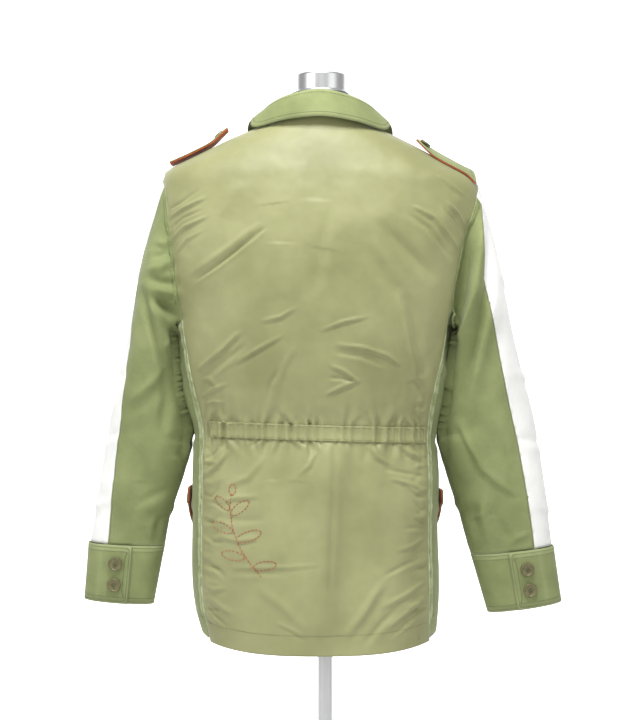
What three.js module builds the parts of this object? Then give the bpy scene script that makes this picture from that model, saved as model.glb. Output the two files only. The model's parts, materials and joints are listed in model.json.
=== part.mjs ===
import * as THREE from "three";

// A field jacket on a limbless dress form with a round base.
// Millimetres, +Z up. The front of the jacket faces -Y, and the wearer's left side is at +X.
// The origin is the middle of the base's underside.
// Every cloth piece is a thin wall. Panels that are sewn together share the points of their seam,
// and each is then drawn back a little from it, so neighbours lie about half a millimetre apart.

// Driving sizes
const CLOTH = 1.6;
const SEAM_RETREAT = 0.28;
const LAYER_GAP = 0.35;
const FORM_OFF_POLE = 4.5;
const HEM_Z = 504;
const HEM_RISE = 14;
const FRONT_HEM_STEP = 4;
const ARMHOLE_BOTTOM_Z = 944;
const SHOULDER_TIP_Z = 1152;
const FRONT_NECK_Z = 1165;
const NECK_Z = 1220;
const NECK_RISE = 8;
const BACK_COLUMNS = 40;
const SIDE_COLUMNS = 4;
const FRONT_COLUMNS = 7;

const WAIST = { z: 797, casingHeight: 22, gatherDepth: 2.4, reach: 26, lean: 0.03 };
const CUFF = { thickness: 2.4, lapEnd: 0.36, lap: 42, lapRise: 2.9, rampFrom: 50, ramp: 45, columns: 26 };
const CUFF_BUTTON = { radius: 10, thickness: 3.4, rim: 1.8, down: [0.32, 0.68], fromEnd: 1.6 };
const FRONT_BUTTON = { radius: 9.5, thickness: 3.2, rim: 1.7 };
const STRAP_BUTTON = { radius: 8, thickness: 3, rim: 1.5 };
const STRAP = { outerX: 210, innerX: 130, halfWidth: 23, columns: 8, rows: 4, lining: 1.2, seat: 0.7 };
const POLE = { radius: 11, flangeRadius: 30, flangeHeight: 9 };
const BASE = { radius: 160, height: 8, edge: 2 };
const FORM = { bottomZ: 590, neckRadius: 50, capRadius: 35.5, capBottomZ: 1268.5, topZ: 1294 };

// Sections of the worn jacket. square is the exponent of the superellipse, shift moves it sideways,
// backEdge is how far the back panel reaches to each side, and frontEdge is the front armhole's.
const BODY = [
  { z: 504, halfWidth: 165, square: 2.5, back: 135, front: 130, shift: 4, backEdge: 150, frontEdge: 150 },
  { z: 542, halfWidth: 171, square: 2.5, back: 132, front: 129, shift: 7, backEdge: 151, frontEdge: 153 },
  { z: 600, halfWidth: 174.5, square: 2.5, back: 127, front: 126, shift: 9, backEdge: 152, frontEdge: 156 },
  { z: 671, halfWidth: 172, square: 2.5, back: 120, front: 122, shift: 10, backEdge: 152, frontEdge: 156 },
  { z: 735, halfWidth: 174.5, square: 2.5, back: 113, front: 117, shift: 8.5, backEdge: 152, frontEdge: 157 },
  { z: 797, halfWidth: 171, square: 2.5, back: 99, front: 109, shift: 10, backEdge: 151.5, frontEdge: 158 },
  { z: 839, halfWidth: 182.5, square: 2.5, back: 109, front: 110, shift: 12, backEdge: 157, frontEdge: 166 },
  { z: 881, halfWidth: 188.5, square: 2.55, back: 113, front: 113, shift: 12, backEdge: 167, frontEdge: 175 },
  { z: 944, halfWidth: 197, square: 2.6, back: 116, front: 116, shift: 9, backEdge: 181.5, frontEdge: 190 },
  { z: 982, halfWidth: 206, square: 2.6, back: 119, front: 118, shift: 9, backEdge: 187, frontEdge: 188 },
  { z: 1022, halfWidth: 214, square: 2.6, back: 119, front: 119, shift: 7.5, backEdge: 191.5, frontEdge: 186 },
  { z: 1065, halfWidth: 221, square: 2.6, back: 117, front: 118, shift: 5.5, backEdge: 199, frontEdge: 191 },
  { z: 1112, halfWidth: 226, square: 2.5, back: 109, front: 112, shift: 3, backEdge: 210, frontEdge: 205 },
  { z: 1140, halfWidth: 224, square: 2.4, back: 103, front: 107, shift: 1.5, backEdge: 217, frontEdge: 216 },
  { z: 1152, halfWidth: 218, square: 2.3, back: 100, front: 103, shift: 1, backEdge: 218, frontEdge: 218 },
  { z: 1165, halfWidth: 192, square: 2.25, back: 95, front: 97, shift: 1, backEdge: 192, frontEdge: 192 },
  { z: 1180, halfWidth: 163, square: 2.2, back: 89, front: 86, shift: 1, backEdge: 163, frontEdge: 163 },
  { z: 1197, halfWidth: 131, square: 2.15, back: 82, front: 72, shift: 1, backEdge: 131, frontEdge: 131 },
  { z: 1209, halfWidth: 105, square: 2.1, back: 75, front: 60, shift: 1, backEdge: 105, frontEdge: 105 },
  { z: 1220, halfWidth: 80, square: 2.05, back: 68, front: 48, shift: 1, backEdge: 80, frontEdge: 80 },
];

// Heights of the cloth's rows, from the hem to the neck
const ROW_HEIGHTS = [
  HEM_Z, 540, 580, 620, 660, 700, 735, 762, 785, WAIST.z, 809, 832, 866, 904, ARMHOLE_BOTTOM_Z,
  978, 1012, 1046, 1080, 1108, 1128, 1142, SHOULDER_TIP_Z, FRONT_NECK_Z, 1174, 1185, 1197, 1209, NECK_Z,
];
const ARMHOLE_ROW = ROW_HEIGHTS.indexOf(ARMHOLE_BOTTOM_Z);
const TIP_ROW = ROW_HEIGHTS.indexOf(SHOULDER_TIP_Z);
const FRONT_NECK_ROW = ROW_HEIGHTS.indexOf(FRONT_NECK_Z);
const NECK_ROW = ROW_HEIGHTS.length - 1;

// The front neckline's distance from the middle
const NECKLINE = [
  { z: FRONT_NECK_Z, x: 0 },
  { z: 1174, x: 38 },
  { z: 1185, x: 57 },
  { z: 1197, x: 69 },
  { z: 1209, x: 75 },
  { z: NECK_Z, x: 76 },
];

// The collar, from the middle of the back (turn 0) past the shoulder (turn 1) to the front edge (turn 2)
const COLLAR = [
  { turn: 0, stand: 37, rollOut: -5, leafOut: 15, leafZ: 1225, spread: 0 },
  { turn: 0.5, stand: 29, rollOut: -2, leafOut: 16, leafZ: 1219, spread: 0 },
  { turn: 0.8, stand: 22, rollOut: 1, leafOut: 17, leafZ: 1214, spread: 0 },
  { turn: 1, stand: 19, rollOut: 2, leafOut: 18, leafZ: 1212, spread: 0 },
  { turn: 1.4, stand: 20, rollOut: 4, leafOut: 24, leafZ: 0, spread: 3 },
  { turn: 1.8, stand: 21, rollOut: 4, leafOut: 24, leafZ: 0, spread: 12 },
  { turn: 2, stand: 21, rollOut: 4, leafOut: 18, leafZ: 0, spread: 34 },
];
const COLLAR_HALF_COLUMNS = 7;
const COLLAR_END = 1.985;
const COLLAR_FOOT = { back: 0.6, front: 2.2 };
const COLLAR_LEAF_LIFT = 6;

// Sleeve rings from the armhole to the wrist. Each runs from an inner point, next to the body,
// to an outer point. blend turns the armhole's own shape into an oval.
const LEFT_SLEEVE = [
  { innerX: 210, innerZ: 939, outerX: 229, outerZ: 1131, half: 76, forward: 1, blend: 0.12 },
  { innerX: 213, innerZ: 934, outerX: 236, outerZ: 1099, half: 78, forward: 1, blend: 0.35 },
  { innerX: 212, innerZ: 927, outerX: 246, outerZ: 1062, half: 78, forward: 1, blend: 0.65 },
  { innerX: 207, innerZ: 914, outerX: 254, outerZ: 1022, half: 75, forward: 0, blend: 1 },
  { innerX: 204, innerZ: 890, outerX: 262, outerZ: 979, half: 71, forward: 0, blend: 1 },
  { innerX: 200.5, innerZ: 858, outerX: 270, outerZ: 930, half: 66, forward: 0, blend: 1 },
  { innerX: 193, innerZ: 823, outerX: 284, outerZ: 875, half: 60, forward: 1, blend: 1 },
  { innerX: 185.5, innerZ: 785, outerX: 298, outerZ: 815, half: 54, forward: 3, blend: 1 },
  { innerX: 187.5, innerZ: 745, outerX: 307, outerZ: 762, half: 48, forward: 5, blend: 1 },
  { innerX: 205, innerZ: 702, outerX: 315, outerZ: 715, half: 43, forward: 7, blend: 1 },
  { innerX: 216, innerZ: 664, outerX: 322, outerZ: 672, half: 38, forward: 9, blend: 1 },
  { innerX: 220, innerZ: 636, outerX: 328, outerZ: 641, half: 34, forward: 11, blend: 1 },
];
const RIGHT_SLEEVE = [
  { innerX: 192, innerZ: 939, outerX: 222, outerZ: 1131, half: 76, forward: 1, blend: 0.12 },
  { innerX: 195, innerZ: 934, outerX: 231, outerZ: 1099, half: 78, forward: 1, blend: 0.35 },
  { innerX: 194, innerZ: 927, outerX: 241, outerZ: 1062, half: 78, forward: 1, blend: 0.65 },
  { innerX: 188, innerZ: 914, outerX: 250, outerZ: 1022, half: 75, forward: 0, blend: 1 },
  { innerX: 184, innerZ: 890, outerX: 258, outerZ: 979, half: 71, forward: 0, blend: 1 },
  { innerX: 178, innerZ: 858, outerX: 267, outerZ: 930, half: 66, forward: 0, blend: 1 },
  { innerX: 171.5, innerZ: 823, outerX: 282, outerZ: 875, half: 60, forward: 1, blend: 1 },
  { innerX: 165.5, innerZ: 785, outerX: 299, outerZ: 815, half: 54, forward: 3, blend: 1 },
  { innerX: 169, innerZ: 745, outerX: 308, outerZ: 762, half: 48, forward: 5, blend: 1 },
  { innerX: 186, innerZ: 702, outerX: 316, outerZ: 715, half: 43, forward: 7, blend: 1 },
  { innerX: 199, innerZ: 655, outerX: 322, outerZ: 668, half: 38, forward: 9, blend: 1 },
  { innerX: 208, innerZ: 623, outerX: 326, outerZ: 636, half: 34, forward: 11, blend: 1 },
];
const SLEEVE_OVAL = 2.25;
const STRIPE = { behind: 50, inFront: 42, behindTop: { left: 12, right: 30 } };

// The cuffs lean with the forearm: drop along the sleeve, and how far they narrow and slide outwards
const LEFT_CUFF = { innerX: 236, innerZ: 553, outerX: 334, outerZ: 561, half: 31, forward: 14 };
const RIGHT_CUFF = { innerX: 232, innerZ: 541, outerX: 337, outerZ: 557, half: 31, forward: 14 };

// The largest folds, as soft ridges from one point to another over the back or the front.
// width is how wide each is, and depth is how far it stands out.
const BACK_FOLDS = [
  { x1: 92, z1: 1072, x2: 172, z2: 1000, width: 13, depth: 3.4 },
  { x1: -160, z1: 1122, x2: -190, z2: 1078, width: 9, depth: 3 },
  { x1: -133, z1: 1104, x2: -182, z2: 1046, width: 10, depth: 3.2 },
  { x1: -101, z1: 985, x2: -143, z2: 852, width: 13, depth: 4 },
  { x1: 171, z1: 885, x2: 112, z2: 940, width: 12, depth: 3.4 },
  { x1: 110, z1: 890, x2: 46, z2: 934, width: 11, depth: 2.8 },
  { x1: -8, z1: 920, x2: -76, z2: 953, width: 9, depth: 2.4 },
  { x1: -14, z1: 918, x2: -104, z2: 888, width: 10, depth: 2.8 },
  { x1: 150, z1: 715, x2: 70, z2: 610, width: 15, depth: 3 },
  { x1: -146, z1: 735, x2: -92, z2: 600, width: 15, depth: 3.2 },
];
const SLEEVE_FOLDS = [
  { x1: 200, z1: 1010, x2: 252, z2: 995, width: 10, depth: 3.5 },
  { x1: 232, z1: 975, x2: 215, z2: 850, width: 11, depth: 4 },
  { x1: 275, z1: 850, x2: 216, z2: 800, width: 11, depth: 4 },
  { x1: 292, z1: 800, x2: 236, z2: 770, width: 10, depth: 3 },
  { x1: 238, z1: 745, x2: 300, z2: 700, width: 12, depth: 3 },
];

const COLOURS = {
  nylon: { color: 0xb5b47f, roughness: 0.45, metalness: 0 },
  cotton: { color: 0x8e9c66, roughness: 0.9, metalness: 0 },
  white: { color: 0xf2f2ee, roughness: 0.85, metalness: 0 },
  rust: { color: 0xc4622f, roughness: 0.85, metalness: 0 },
  button: { color: 0x6f7350, roughness: 0.5, metalness: 0 },
  black: { color: 0x1c1c1e, roughness: 0.9, metalness: 0 },
  chrome: { color: 0xd0d2d4, roughness: 0.15, metalness: 1 },
};

const TURN = 2 * Math.PI;
const QUARTER = Math.PI / 2;

const mix = (a, b, t) => a + (b - a) * t;
const clamp = (v, low, high) => Math.min(Math.max(v, low), high);
const smooth = (t) => t * t * (3 - 2 * t);
const signedPower = (v, exponent) => Math.sign(v) * Math.abs(v) ** exponent;

// A smooth curve through one column of a table whose rows rise in the key column
function sample(rows, key, at, column) {
  const last = rows.length - 1;
  const above = rows.findIndex((row) => row[key] > at);
  const i = above < 0 ? last - 1 : Math.max(above - 1, 0);
  const [a, b] = [rows[i], rows[i + 1]];
  const span = b[key] - a[key];
  const slope = (j) => {
    const [p, q] = [rows[Math.max(j - 1, 0)], rows[Math.min(j + 1, last)]];
    return (q[column] - p[column]) / (q[key] - p[key]);
  };
  const t = clamp((at - a[key]) / span, 0, 1);
  const t2 = t * t;
  const t3 = t2 * t;
  return (
    (2 * t3 - 3 * t2 + 1) * a[column] +
    (t3 - 2 * t2 + t) * span * slope(i) +
    (3 * t2 - 2 * t3) * b[column] +
    (t3 - t2) * span * slope(i + 1)
  );
}

const body = (z, column) => sample(BODY, "z", z, column);

// How much the jacket leans: its left side sits a little higher from the waist up
const leanAt = (z) => WAIST.lean * smooth(clamp((z - 640) / 150, 0, 1));

// A point of the jacket's own surface. The angle is 0 at the left side and a quarter turn at the back.
function bodyPoint(angle, z) {
  const power = 2 / body(z, "square");
  const depth = Math.sin(angle) > 0 ? body(z, "back") : body(z, "front");
  const x = body(z, "shift") + body(z, "halfWidth") * signedPower(Math.cos(angle), power);
  const y = depth * signedPower(Math.sin(angle), power);
  return new THREE.Vector3(x, y, z + leanAt(z) * x);
}

function bodyNormal(angle, z) {
  const step = 0.02;
  const around = bodyPoint(angle + step, z).sub(bodyPoint(angle - step, z));
  const up = bodyPoint(angle, z + 1).sub(bodyPoint(angle, z - 1));
  return around.cross(up).normalize();
}

const liftedPoint = (angle, z, lift) => bodyPoint(angle, z).addScaledVector(bodyNormal(angle, z), lift);

// The angle at which a section is so many millimetres from its own middle
function angleAt(z, x) {
  const share = clamp(x / body(z, "halfWidth"), 0, 1);
  return Math.acos(share ** (body(z, "square") / 2));
}

// Under 1 inside the jacket's surface and over 1 outside it
function fullness(x, y, z) {
  const square = body(z, "square");
  const depth = y > 0 ? body(z, "back") : body(z, "front");
  return Math.abs((x - body(z, "shift")) / body(z, "halfWidth")) ** square + Math.abs(y / depth) ** square;
}

// The height of the shoulders over a point seen from above
function shoulderHeight(x, y) {
  let [low, high] = [1040, NECK_Z];
  for (let i = 0; i < 30; i++) {
    const z = (low + high) / 2;
    if (fullness(x, y, z) < 1) low = z;
    else high = z;
  }
  return low + leanAt(low) * x;
}

// A point so far out from the shoulders' surface, over or under a point seen from above
function overShoulder(x, y, lift) {
  const z = shoulderHeight(x, y);
  const level = z - leanAt(z) * x;
  const slope = (dx, dy, dz) => fullness(x + dx, y + dy, level + dz) - fullness(x - dx, y - dy, level - dz);
  const normal = new THREE.Vector3(slope(1, 0, 0), slope(0, 1, 0), slope(0, 0, 1)).normalize();
  return new THREE.Vector3(x, y, z).addScaledVector(normal, lift);
}

// How far a point lies along and from a fold, as a soft ridge's height
function foldHeight(folds, x, z) {
  let height = 0;
  for (const fold of folds) {
    const along = new THREE.Vector2(fold.x2 - fold.x1, fold.z2 - fold.z1);
    const to = new THREE.Vector2(x - fold.x1, z - fold.z1);
    const t = to.dot(along) / along.lengthSq();
    const off = Math.abs(to.cross(along)) / along.length() / fold.width;
    const ends = smooth(clamp(Math.min(t, 1 - t) * 3 + 0.35, 0, 1));
    height += fold.depth * ends * Math.exp(-off * off);
  }
  return height;
}

// Cloth as one surface of shared points, from which each panel takes its own faces
class Cloth {
  points = new Map();
  panels = new Map();

  add(key, point) {
    this.points.set(key, point);
    return key;
  }

  quad(panel, a, b, c, d) {
    if (!this.panels.has(panel)) this.panels.set(panel, []);
    this.panels.get(panel).push([a, b, c, d]);
  }

  // Fills a grid of keys, given row by row
  grid(panel, rows) {
    for (let r = 0; r + 1 < rows.length; r++) {
      for (let c = 0; c + 1 < rows[r].length; c++) {
        this.quad(panel, rows[r][c], rows[r][c + 1], rows[r + 1][c + 1], rows[r + 1][c]);
      }
    }
  }

  // Each point's normal and the way into the panel, from the faces of the panels named
  corners(names) {
    const found = new Map();
    for (const name of names) {
      for (const quad of this.panels.get(name)) {
        const [a, b, c, d] = quad.map((key) => this.points.get(key));
        const face = c.clone().sub(a).cross(d.clone().sub(b));
        const middle = a.clone().add(b).add(c).add(d).multiplyScalar(0.25);
        for (const key of quad) {
          if (!found.has(key)) {
            found.set(key, { normal: new THREE.Vector3(), inward: new THREE.Vector3(), names: new Set() });
          }
          const at = found.get(key);
          at.names.add(name);
          at.normal.add(face);
          at.inward.add(middle.clone().sub(this.points.get(key)).normalize());
        }
      }
    }
    for (const at of found.values()) {
      at.normal.normalize();
      at.inward.normalize();
    }
    return found;
  }

  // Moves points out along the surface by a height that depends on where they are
  displace(height) {
    const corners = this.corners([...this.panels.keys()]);
    for (const [key, point] of this.points) {
      const normal = corners.get(key)?.normal;
      if (normal) point.addScaledVector(normal, height(key, point, normal));
    }
  }

  // A panel's outer points, normals and faces, drawn back from its seams
  panel(name) {
    const own = this.corners([name]);
    const others = this.corners([...this.panels.keys()].filter((other) => other !== name));
    const index = new Map();
    const points = [];
    const normals = [];
    for (const [key, at] of own) {
      const next = others.get(key);
      const point = this.points.get(key).clone();
      const normal = at.normal.clone();
      if (next) {
        const away = at.inward.clone().sub(next.inward).normalize();
        point.addScaledVector(away, next.names.size > 1 ? 2 * SEAM_RETREAT : SEAM_RETREAT);
        const convex = at.normal.dot(next.inward) < 0.12;
        if (convex) normal.add(next.normal).normalize();
      }
      index.set(key, points.length);
      points.push(point);
      normals.push(normal);
    }
    const quads = this.panels.get(name).map((quad) => quad.map((key) => index.get(key)));
    return { points, normals, quads, index };
  }
}

// A closed wall: the outer points, the inner points one thickness in, and a rim round every open edge
function wallGeometry({ points, normals, quads }, thickness) {
  const count = points.length;
  const position = new Float32Array(count * 6);
  points.forEach((point, i) => {
    point.toArray(position, i * 3);
    point.clone().addScaledVector(normals[i], -thickness).toArray(position, (count + i) * 3);
  });
  const faces = [];
  const edges = new Map();
  for (const [a, b, c, d] of quads) {
    faces.push(a, b, c, a, c, d);
    faces.push(count + a, count + c, count + b, count + a, count + d, count + c);
    for (const [from, to] of [[a, b], [b, c], [c, d], [d, a]]) {
      if (!edges.delete(to + "," + from)) edges.set(from + "," + to, [from, to]);
    }
  }
  for (const [from, to] of edges.values()) {
    faces.push(to, from, count + from, to, count + from, count + to);
  }
  const geometry = new THREE.BufferGeometry();
  geometry.setAttribute("position", new THREE.BufferAttribute(position, 3));
  geometry.setIndex(faces);
  geometry.computeVertexNormals();
  return geometry;
}

function mesh(name, geometry, colour) {
  const made = new THREE.Mesh(geometry, new THREE.MeshStandardMaterial(COLOURS[colour]));
  made.name = name;
  return made;
}

// A panel from a plain grid of points, whose normals come from its own faces
function gridPanel(rows) {
  const cloth = new Cloth();
  const keys = rows.map((row, r) => row.map((point, c) => cloth.add(r + ":" + c, point)));
  cloth.grid("panel", keys);
  return cloth.panel("panel");
}

function gridWall(name, rows, thickness, colour) {
  return mesh(name, wallGeometry(gridPanel(rows), thickness), colour);
}

// The same grid, moved out by a height: what lies on a piece is made from that piece's points
function raised(rows, height) {
  const { points, normals, index } = gridPanel(rows);
  return rows.map((row, r) =>
    row.map((_, c) => {
      const i = index.get(r + ":" + c);
      return points[i].clone().addScaledVector(normals[i], height);
    }),
  );
}

const steps = (count, make) => Array.from({ length: count + 1 }, (_, i) => make(i / count, i));

// A point between the points of a grid, at any place along its rows and columns
function onGrid(rows, row, column) {
  const r = Math.min(Math.floor(row), rows.length - 2);
  const c = Math.min(Math.floor(column), rows[0].length - 2);
  const along = (k) => rows[k][c].clone().lerp(rows[k][c + 1], column - c);
  return along(r).lerp(along(r + 1), row - r);
}

// The angles of one row's points: the left side's seam, front line and neckline, all measured from its side
function rowAngles(z, row) {
  const sewnOver = row >= TIP_ROW;
  return {
    back: sewnOver ? 0 : angleAt(z, body(z, "backEdge")),
    front: sewnOver ? 0 : -angleAt(z, body(z, "frontEdge")),
    middle: row > FRONT_NECK_ROW ? -angleAt(z, sample(NECKLINE, "z", z, "x")) : -QUARTER,
  };
}

const mirrored = (angle, side) => (side === "left" ? angle : Math.PI - angle);

// A row's height, which rises towards the back hem's corners and towards the middle of the back neck
function rowHeight(z, row, angle) {
  const behind = Math.max(Math.sin(angle), 0) ** 2;
  if (row === 0) return z + HEM_RISE * (1 - behind) ** 1.2;
  if (row === 1) return z + HEM_RISE * 0.5 * (1 - behind) ** 1.2;
  return row === NECK_ROW ? z + NECK_RISE * behind : z;
}

const bodyKey = (row, column) => "body:" + row + ":" + column;

function addBodyPoint(cloth, row, column, angle) {
  const z = ROW_HEIGHTS[row];
  const point = bodyPoint(angle, z);
  point.z += rowHeight(z, row, angle) - z;
  return cloth.add(bodyKey(row, column), point);
}

// The back panel's rows run from the wearer's right seam to the left one
function addBack(cloth) {
  const rows = ROW_HEIGHTS.map((z, row) => {
    const edge = rowAngles(z, row).back;
    return steps(BACK_COLUMNS, (t, column) => {
      const name = column === 0 ? "right:0" : column === BACK_COLUMNS ? "left:0" : "back:" + column;
      return addBodyPoint(cloth, row, name, mix(Math.PI - edge, edge, t));
    });
  });
  cloth.grid("back_panel", rows.map((row) => row.slice().reverse()));
  return rows;
}

// A front wraps round the side, so it has a part under the armhole and a part before it
function addFront(cloth, side) {
  const under = [];
  const before = [];
  ROW_HEIGHTS.forEach((z, row) => {
    const angles = rowAngles(z, row);
    const place = (column, angle) => addBodyPoint(cloth, row, side + ":" + column, mirrored(angle, side));
    const sewnOver = row >= TIP_ROW;
    if (row <= ARMHOLE_ROW) {
      const keys = [bodyKey(row, side + ":0")];
      for (let c = 1; c <= SIDE_COLUMNS; c++) {
        keys.push(place(c, mix(angles.back, angles.front, c / SIDE_COLUMNS)));
      }
      under.push(keys);
    }
    const first = sewnOver ? bodyKey(row, side + ":0") : place(SIDE_COLUMNS, angles.front);
    const keys = [first];
    for (let c = 1; c <= FRONT_COLUMNS; c++) {
      const angle = mix(angles.front, angles.middle, c / FRONT_COLUMNS);
      const onMiddle = c === FRONT_COLUMNS && row <= FRONT_NECK_ROW;
      const column = onMiddle ? "middle" : side + ":" + (SIDE_COLUMNS + c);
      keys.push(addBodyPoint(cloth, row, column, mirrored(angle, side)));
    }
    before.push(keys);
  });
  const order = (rows) => (side === "left" ? rows.map((row) => row.slice().reverse()) : rows);
  cloth.grid("front_" + side, order(under));
  cloth.grid("front_" + side, order(before));
  return before;
}

// The armhole's points, from the middle of its bottom up the back, over the tip and down the front
function armholeLoop(side) {
  const half = SIDE_COLUMNS / 2;
  const loop = [];
  for (let c = half; c > 0; c--) loop.push(bodyKey(ARMHOLE_ROW, side + ":" + c));
  for (let row = ARMHOLE_ROW; row <= TIP_ROW; row++) loop.push(bodyKey(row, side + ":0"));
  for (let row = TIP_ROW - 1; row >= ARMHOLE_ROW; row--) loop.push(bodyKey(row, side + ":" + SIDE_COLUMNS));
  for (let c = SIDE_COLUMNS - 1; c > half; c--) loop.push(bodyKey(ARMHOLE_ROW, side + ":" + c));
  return loop;
}

// One ring's own axes: across from the inner to the outer point, and down the sleeve
function ringFrame(ring, sign) {
  const inner = new THREE.Vector3(sign * ring.innerX, 0, ring.innerZ);
  const outer = new THREE.Vector3(sign * ring.outerX, 0, ring.outerZ);
  const across = outer.clone().sub(inner).normalize();
  return {
    centre: inner.clone().add(outer).multiplyScalar(0.5).setY(-ring.forward),
    halfAcross: outer.distanceTo(inner) / 2,
    across,
    down: new THREE.Vector3(sign * across.z, 0, -sign * across.x),
    half: ring.half,
  };
}

// An oval's points at given distances round it, starting at the inner point and going by the back
function ovalPoints(halfAcross, half, places) {
  const fine = steps(360, (t) => {
    const angle = Math.PI - t * TURN;
    const power = 2 / SLEEVE_OVAL;
    return [signedPower(Math.cos(angle), power), signedPower(Math.sin(angle), power)];
  });
  const length = [0];
  for (let i = 1; i < fine.length; i++) {
    const step = Math.hypot((fine[i][0] - fine[i - 1][0]) * halfAcross, (fine[i][1] - fine[i - 1][1]) * half);
    length.push(length[i - 1] + step);
  }
  const whole = length.at(-1);
  return places(whole).map((place) => {
    const at = ((place % whole) + whole) % whole;
    const i = Math.max(length.findIndex((l) => l > at), 1);
    const t = (at - length[i - 1]) / (length[i] - length[i - 1]);
    return [mix(fine[i - 1][0], fine[i][0], t), mix(fine[i - 1][1], fine[i][1], t)];
  });
}

const STRIPE_COLUMNS = 2;
const GROUP_COLUMNS = SIDE_COLUMNS / 2 + (TIP_ROW - ARMHOLE_ROW) - STRIPE_COLUMNS;

// Where the sleeve's lines of points lie round a ring: the back part, the stripe and the front part
function sleevePlaces(whole, behind, inFront) {
  const places = [];
  for (let i = 0; i < GROUP_COLUMNS; i++) places.push(mix(0, whole / 2 - behind, i / GROUP_COLUMNS));
  for (let i = 0; i < STRIPE_COLUMNS; i++) places.push(whole / 2 - mix(behind, 0, i / STRIPE_COLUMNS));
  for (let i = 0; i < STRIPE_COLUMNS; i++) places.push(whole / 2 + mix(0, inFront, i / STRIPE_COLUMNS));
  for (let i = 0; i < GROUP_COLUMNS; i++) places.push(mix(whole / 2 + inFront, whole, i / GROUP_COLUMNS));
  return places;
}

// A sleeve grows out of the armhole's own points
function addSleeve(cloth, side, rings) {
  const sign = side === "left" ? 1 : -1;
  const loop = armholeLoop(side);
  const armhole = loop.map((key) => cloth.points.get(key));
  const tip = armhole[loop.length / 2];
  const start = ringFrame(
    {
      innerX: sign * armhole[0].x,
      innerZ: armhole[0].z,
      outerX: sign * tip.x,
      outerZ: tip.z,
      half: 78,
      forward: 0,
    },
    sign,
  );
  const own = armhole.map((point) => {
    const to = point.clone().sub(start.centre);
    return [to.dot(start.across) / start.halfAcross, to.y / start.half, to.dot(start.down)];
  });
  const rows = [loop];
  rings.forEach((ring, k) => {
    const frame = ringFrame(ring, sign);
    const settled = clamp((k + 1) / 7, 0, 1);
    const behind = mix(STRIPE.behindTop[side], STRIPE.behind, settled);
    const placesOf = (whole) => sleevePlaces(whole, behind, STRIPE.inFront);
    const oval = ovalPoints(frame.halfAcross, frame.half, placesOf);
    rows.push(
      oval.map(([p, q], i) => {
        const point = frame.centre.clone();
        point.addScaledVector(frame.across, frame.halfAcross * mix(own[i][0], p, ring.blend));
        point.addScaledVector(frame.down, own[i][2] * (1 - ring.blend));
        point.y += frame.half * mix(own[i][1], q, ring.blend);
        return cloth.add("sleeve_" + side + ":" + k + ":" + i, point);
      }),
    );
  });
  const columns = loop.length;
  const ranges = {
    back: [0, GROUP_COLUMNS],
    stripe: [GROUP_COLUMNS, GROUP_COLUMNS + 2 * STRIPE_COLUMNS],
    front: [GROUP_COLUMNS + 2 * STRIPE_COLUMNS, columns],
  };
  for (const [part, [from, to]] of Object.entries(ranges)) {
    const strip = rows.map((row) => steps(to - from, (_, i) => row[(from + i) % columns]));
    const order = side === "left" ? strip : strip.map((row) => row.slice().reverse());
    cloth.grid("sleeve_" + side + "_" + part, order);
  }
}

// Gathers along the drawstring: neighbouring lines of points go out and in, most at the casing's edges
function gatherHeight(column, z) {
  const fromCasing = Math.abs(z - WAIST.z) - WAIST.casingHeight / 2;
  const near = fromCasing < 0 ? 0.75 : Math.exp(-((fromCasing / WAIST.reach) ** 2));
  const uneven = 0.75 + 0.35 * Math.sin(column * 1.9) + 0.2 * Math.sin(column * 0.7 + 1);
  return WAIST.gatherDepth * near * uneven * (column % 2 ? 1 : -1);
}

function shapeFolds(cloth) {
  cloth.displace((key, point, normal) => {
    const [part, row, column] = key.split(":");
    const onBack = column === "back";
    const backFacing = clamp(normal.y * 2, 0, 1);
    if (part === "body") {
      const atEdge = Number(row) === 0 || Number(row) > TIP_ROW;
      const folds = onBack && !atEdge ? foldHeight(BACK_FOLDS, point.x, point.z) * backFacing : 0;
      const gathers = onBack ? gatherHeight(Number(key.split(":")[3]), ROW_HEIGHTS[row]) : 0;
      return folds + gathers;
    }
    const lastRing = Number(row) >= LEFT_SLEEVE.length - 2;
    const facing = clamp(Math.abs(normal.y) * 2 - 0.4, 0, 1);
    return lastRing ? 0 : foldHeight(SLEEVE_FOLDS, Math.abs(point.x), point.z) * facing;
  });
}

// The drawstring's casing lies on the back panel, so it is made from the panel's points, moved out
function waistCasing(cloth, backRows) {
  const panel = cloth.panel("back_panel");
  const row = ROW_HEIGHTS.indexOf(WAIST.z);
  const out = 2 * LAYER_GAP + CLOTH;
  const columns = backRows[row].slice(1, -1);
  const rows = [-1, -0.5, 0, 0.5, 1].map((share) => {
    const neighbour = share < 0 ? row - 1 : row + 1;
    const span = Math.abs(ROW_HEIGHTS[neighbour] - WAIST.z);
    const t = (Math.abs(share) * WAIST.casingHeight) / 2 / span;
    return columns.map((key, c) => {
      const i = panel.index.get(key);
      const j = panel.index.get(backRows[neighbour][c + 1]);
      const normal = panel.normals[i].clone().lerp(panel.normals[j], t);
      return panel.points[i].clone().lerp(panel.points[j], t).addScaledVector(normal, out);
    });
  });
  return gridWall("waist_casing", rows.map((line) => line.slice().reverse()), CLOTH, "nylon");
}

// Points of the neck seam on one side: turn 0 to 1 along the back, 1 to 2 down the front neckline
function neckSeam(turn) {
  if (turn <= 1) {
    const angle = QUARTER * (1 - turn);
    const point = bodyPoint(angle, NECK_Z);
    point.z += NECK_RISE * Math.sin(angle) ** 2;
    return point;
  }
  const lines = NECKLINE.slice().reverse();
  const at = (turn - 1) * lines.length;
  const i = Math.min(Math.floor(at), lines.length - 1);
  const ends = [bodyPoint(0, NECK_Z), ...lines.map((line) => bodyPoint(-angleAt(line.z, line.x), line.z))];
  return ends[i].clone().lerp(ends[i + 1], at - i);
}

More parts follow.
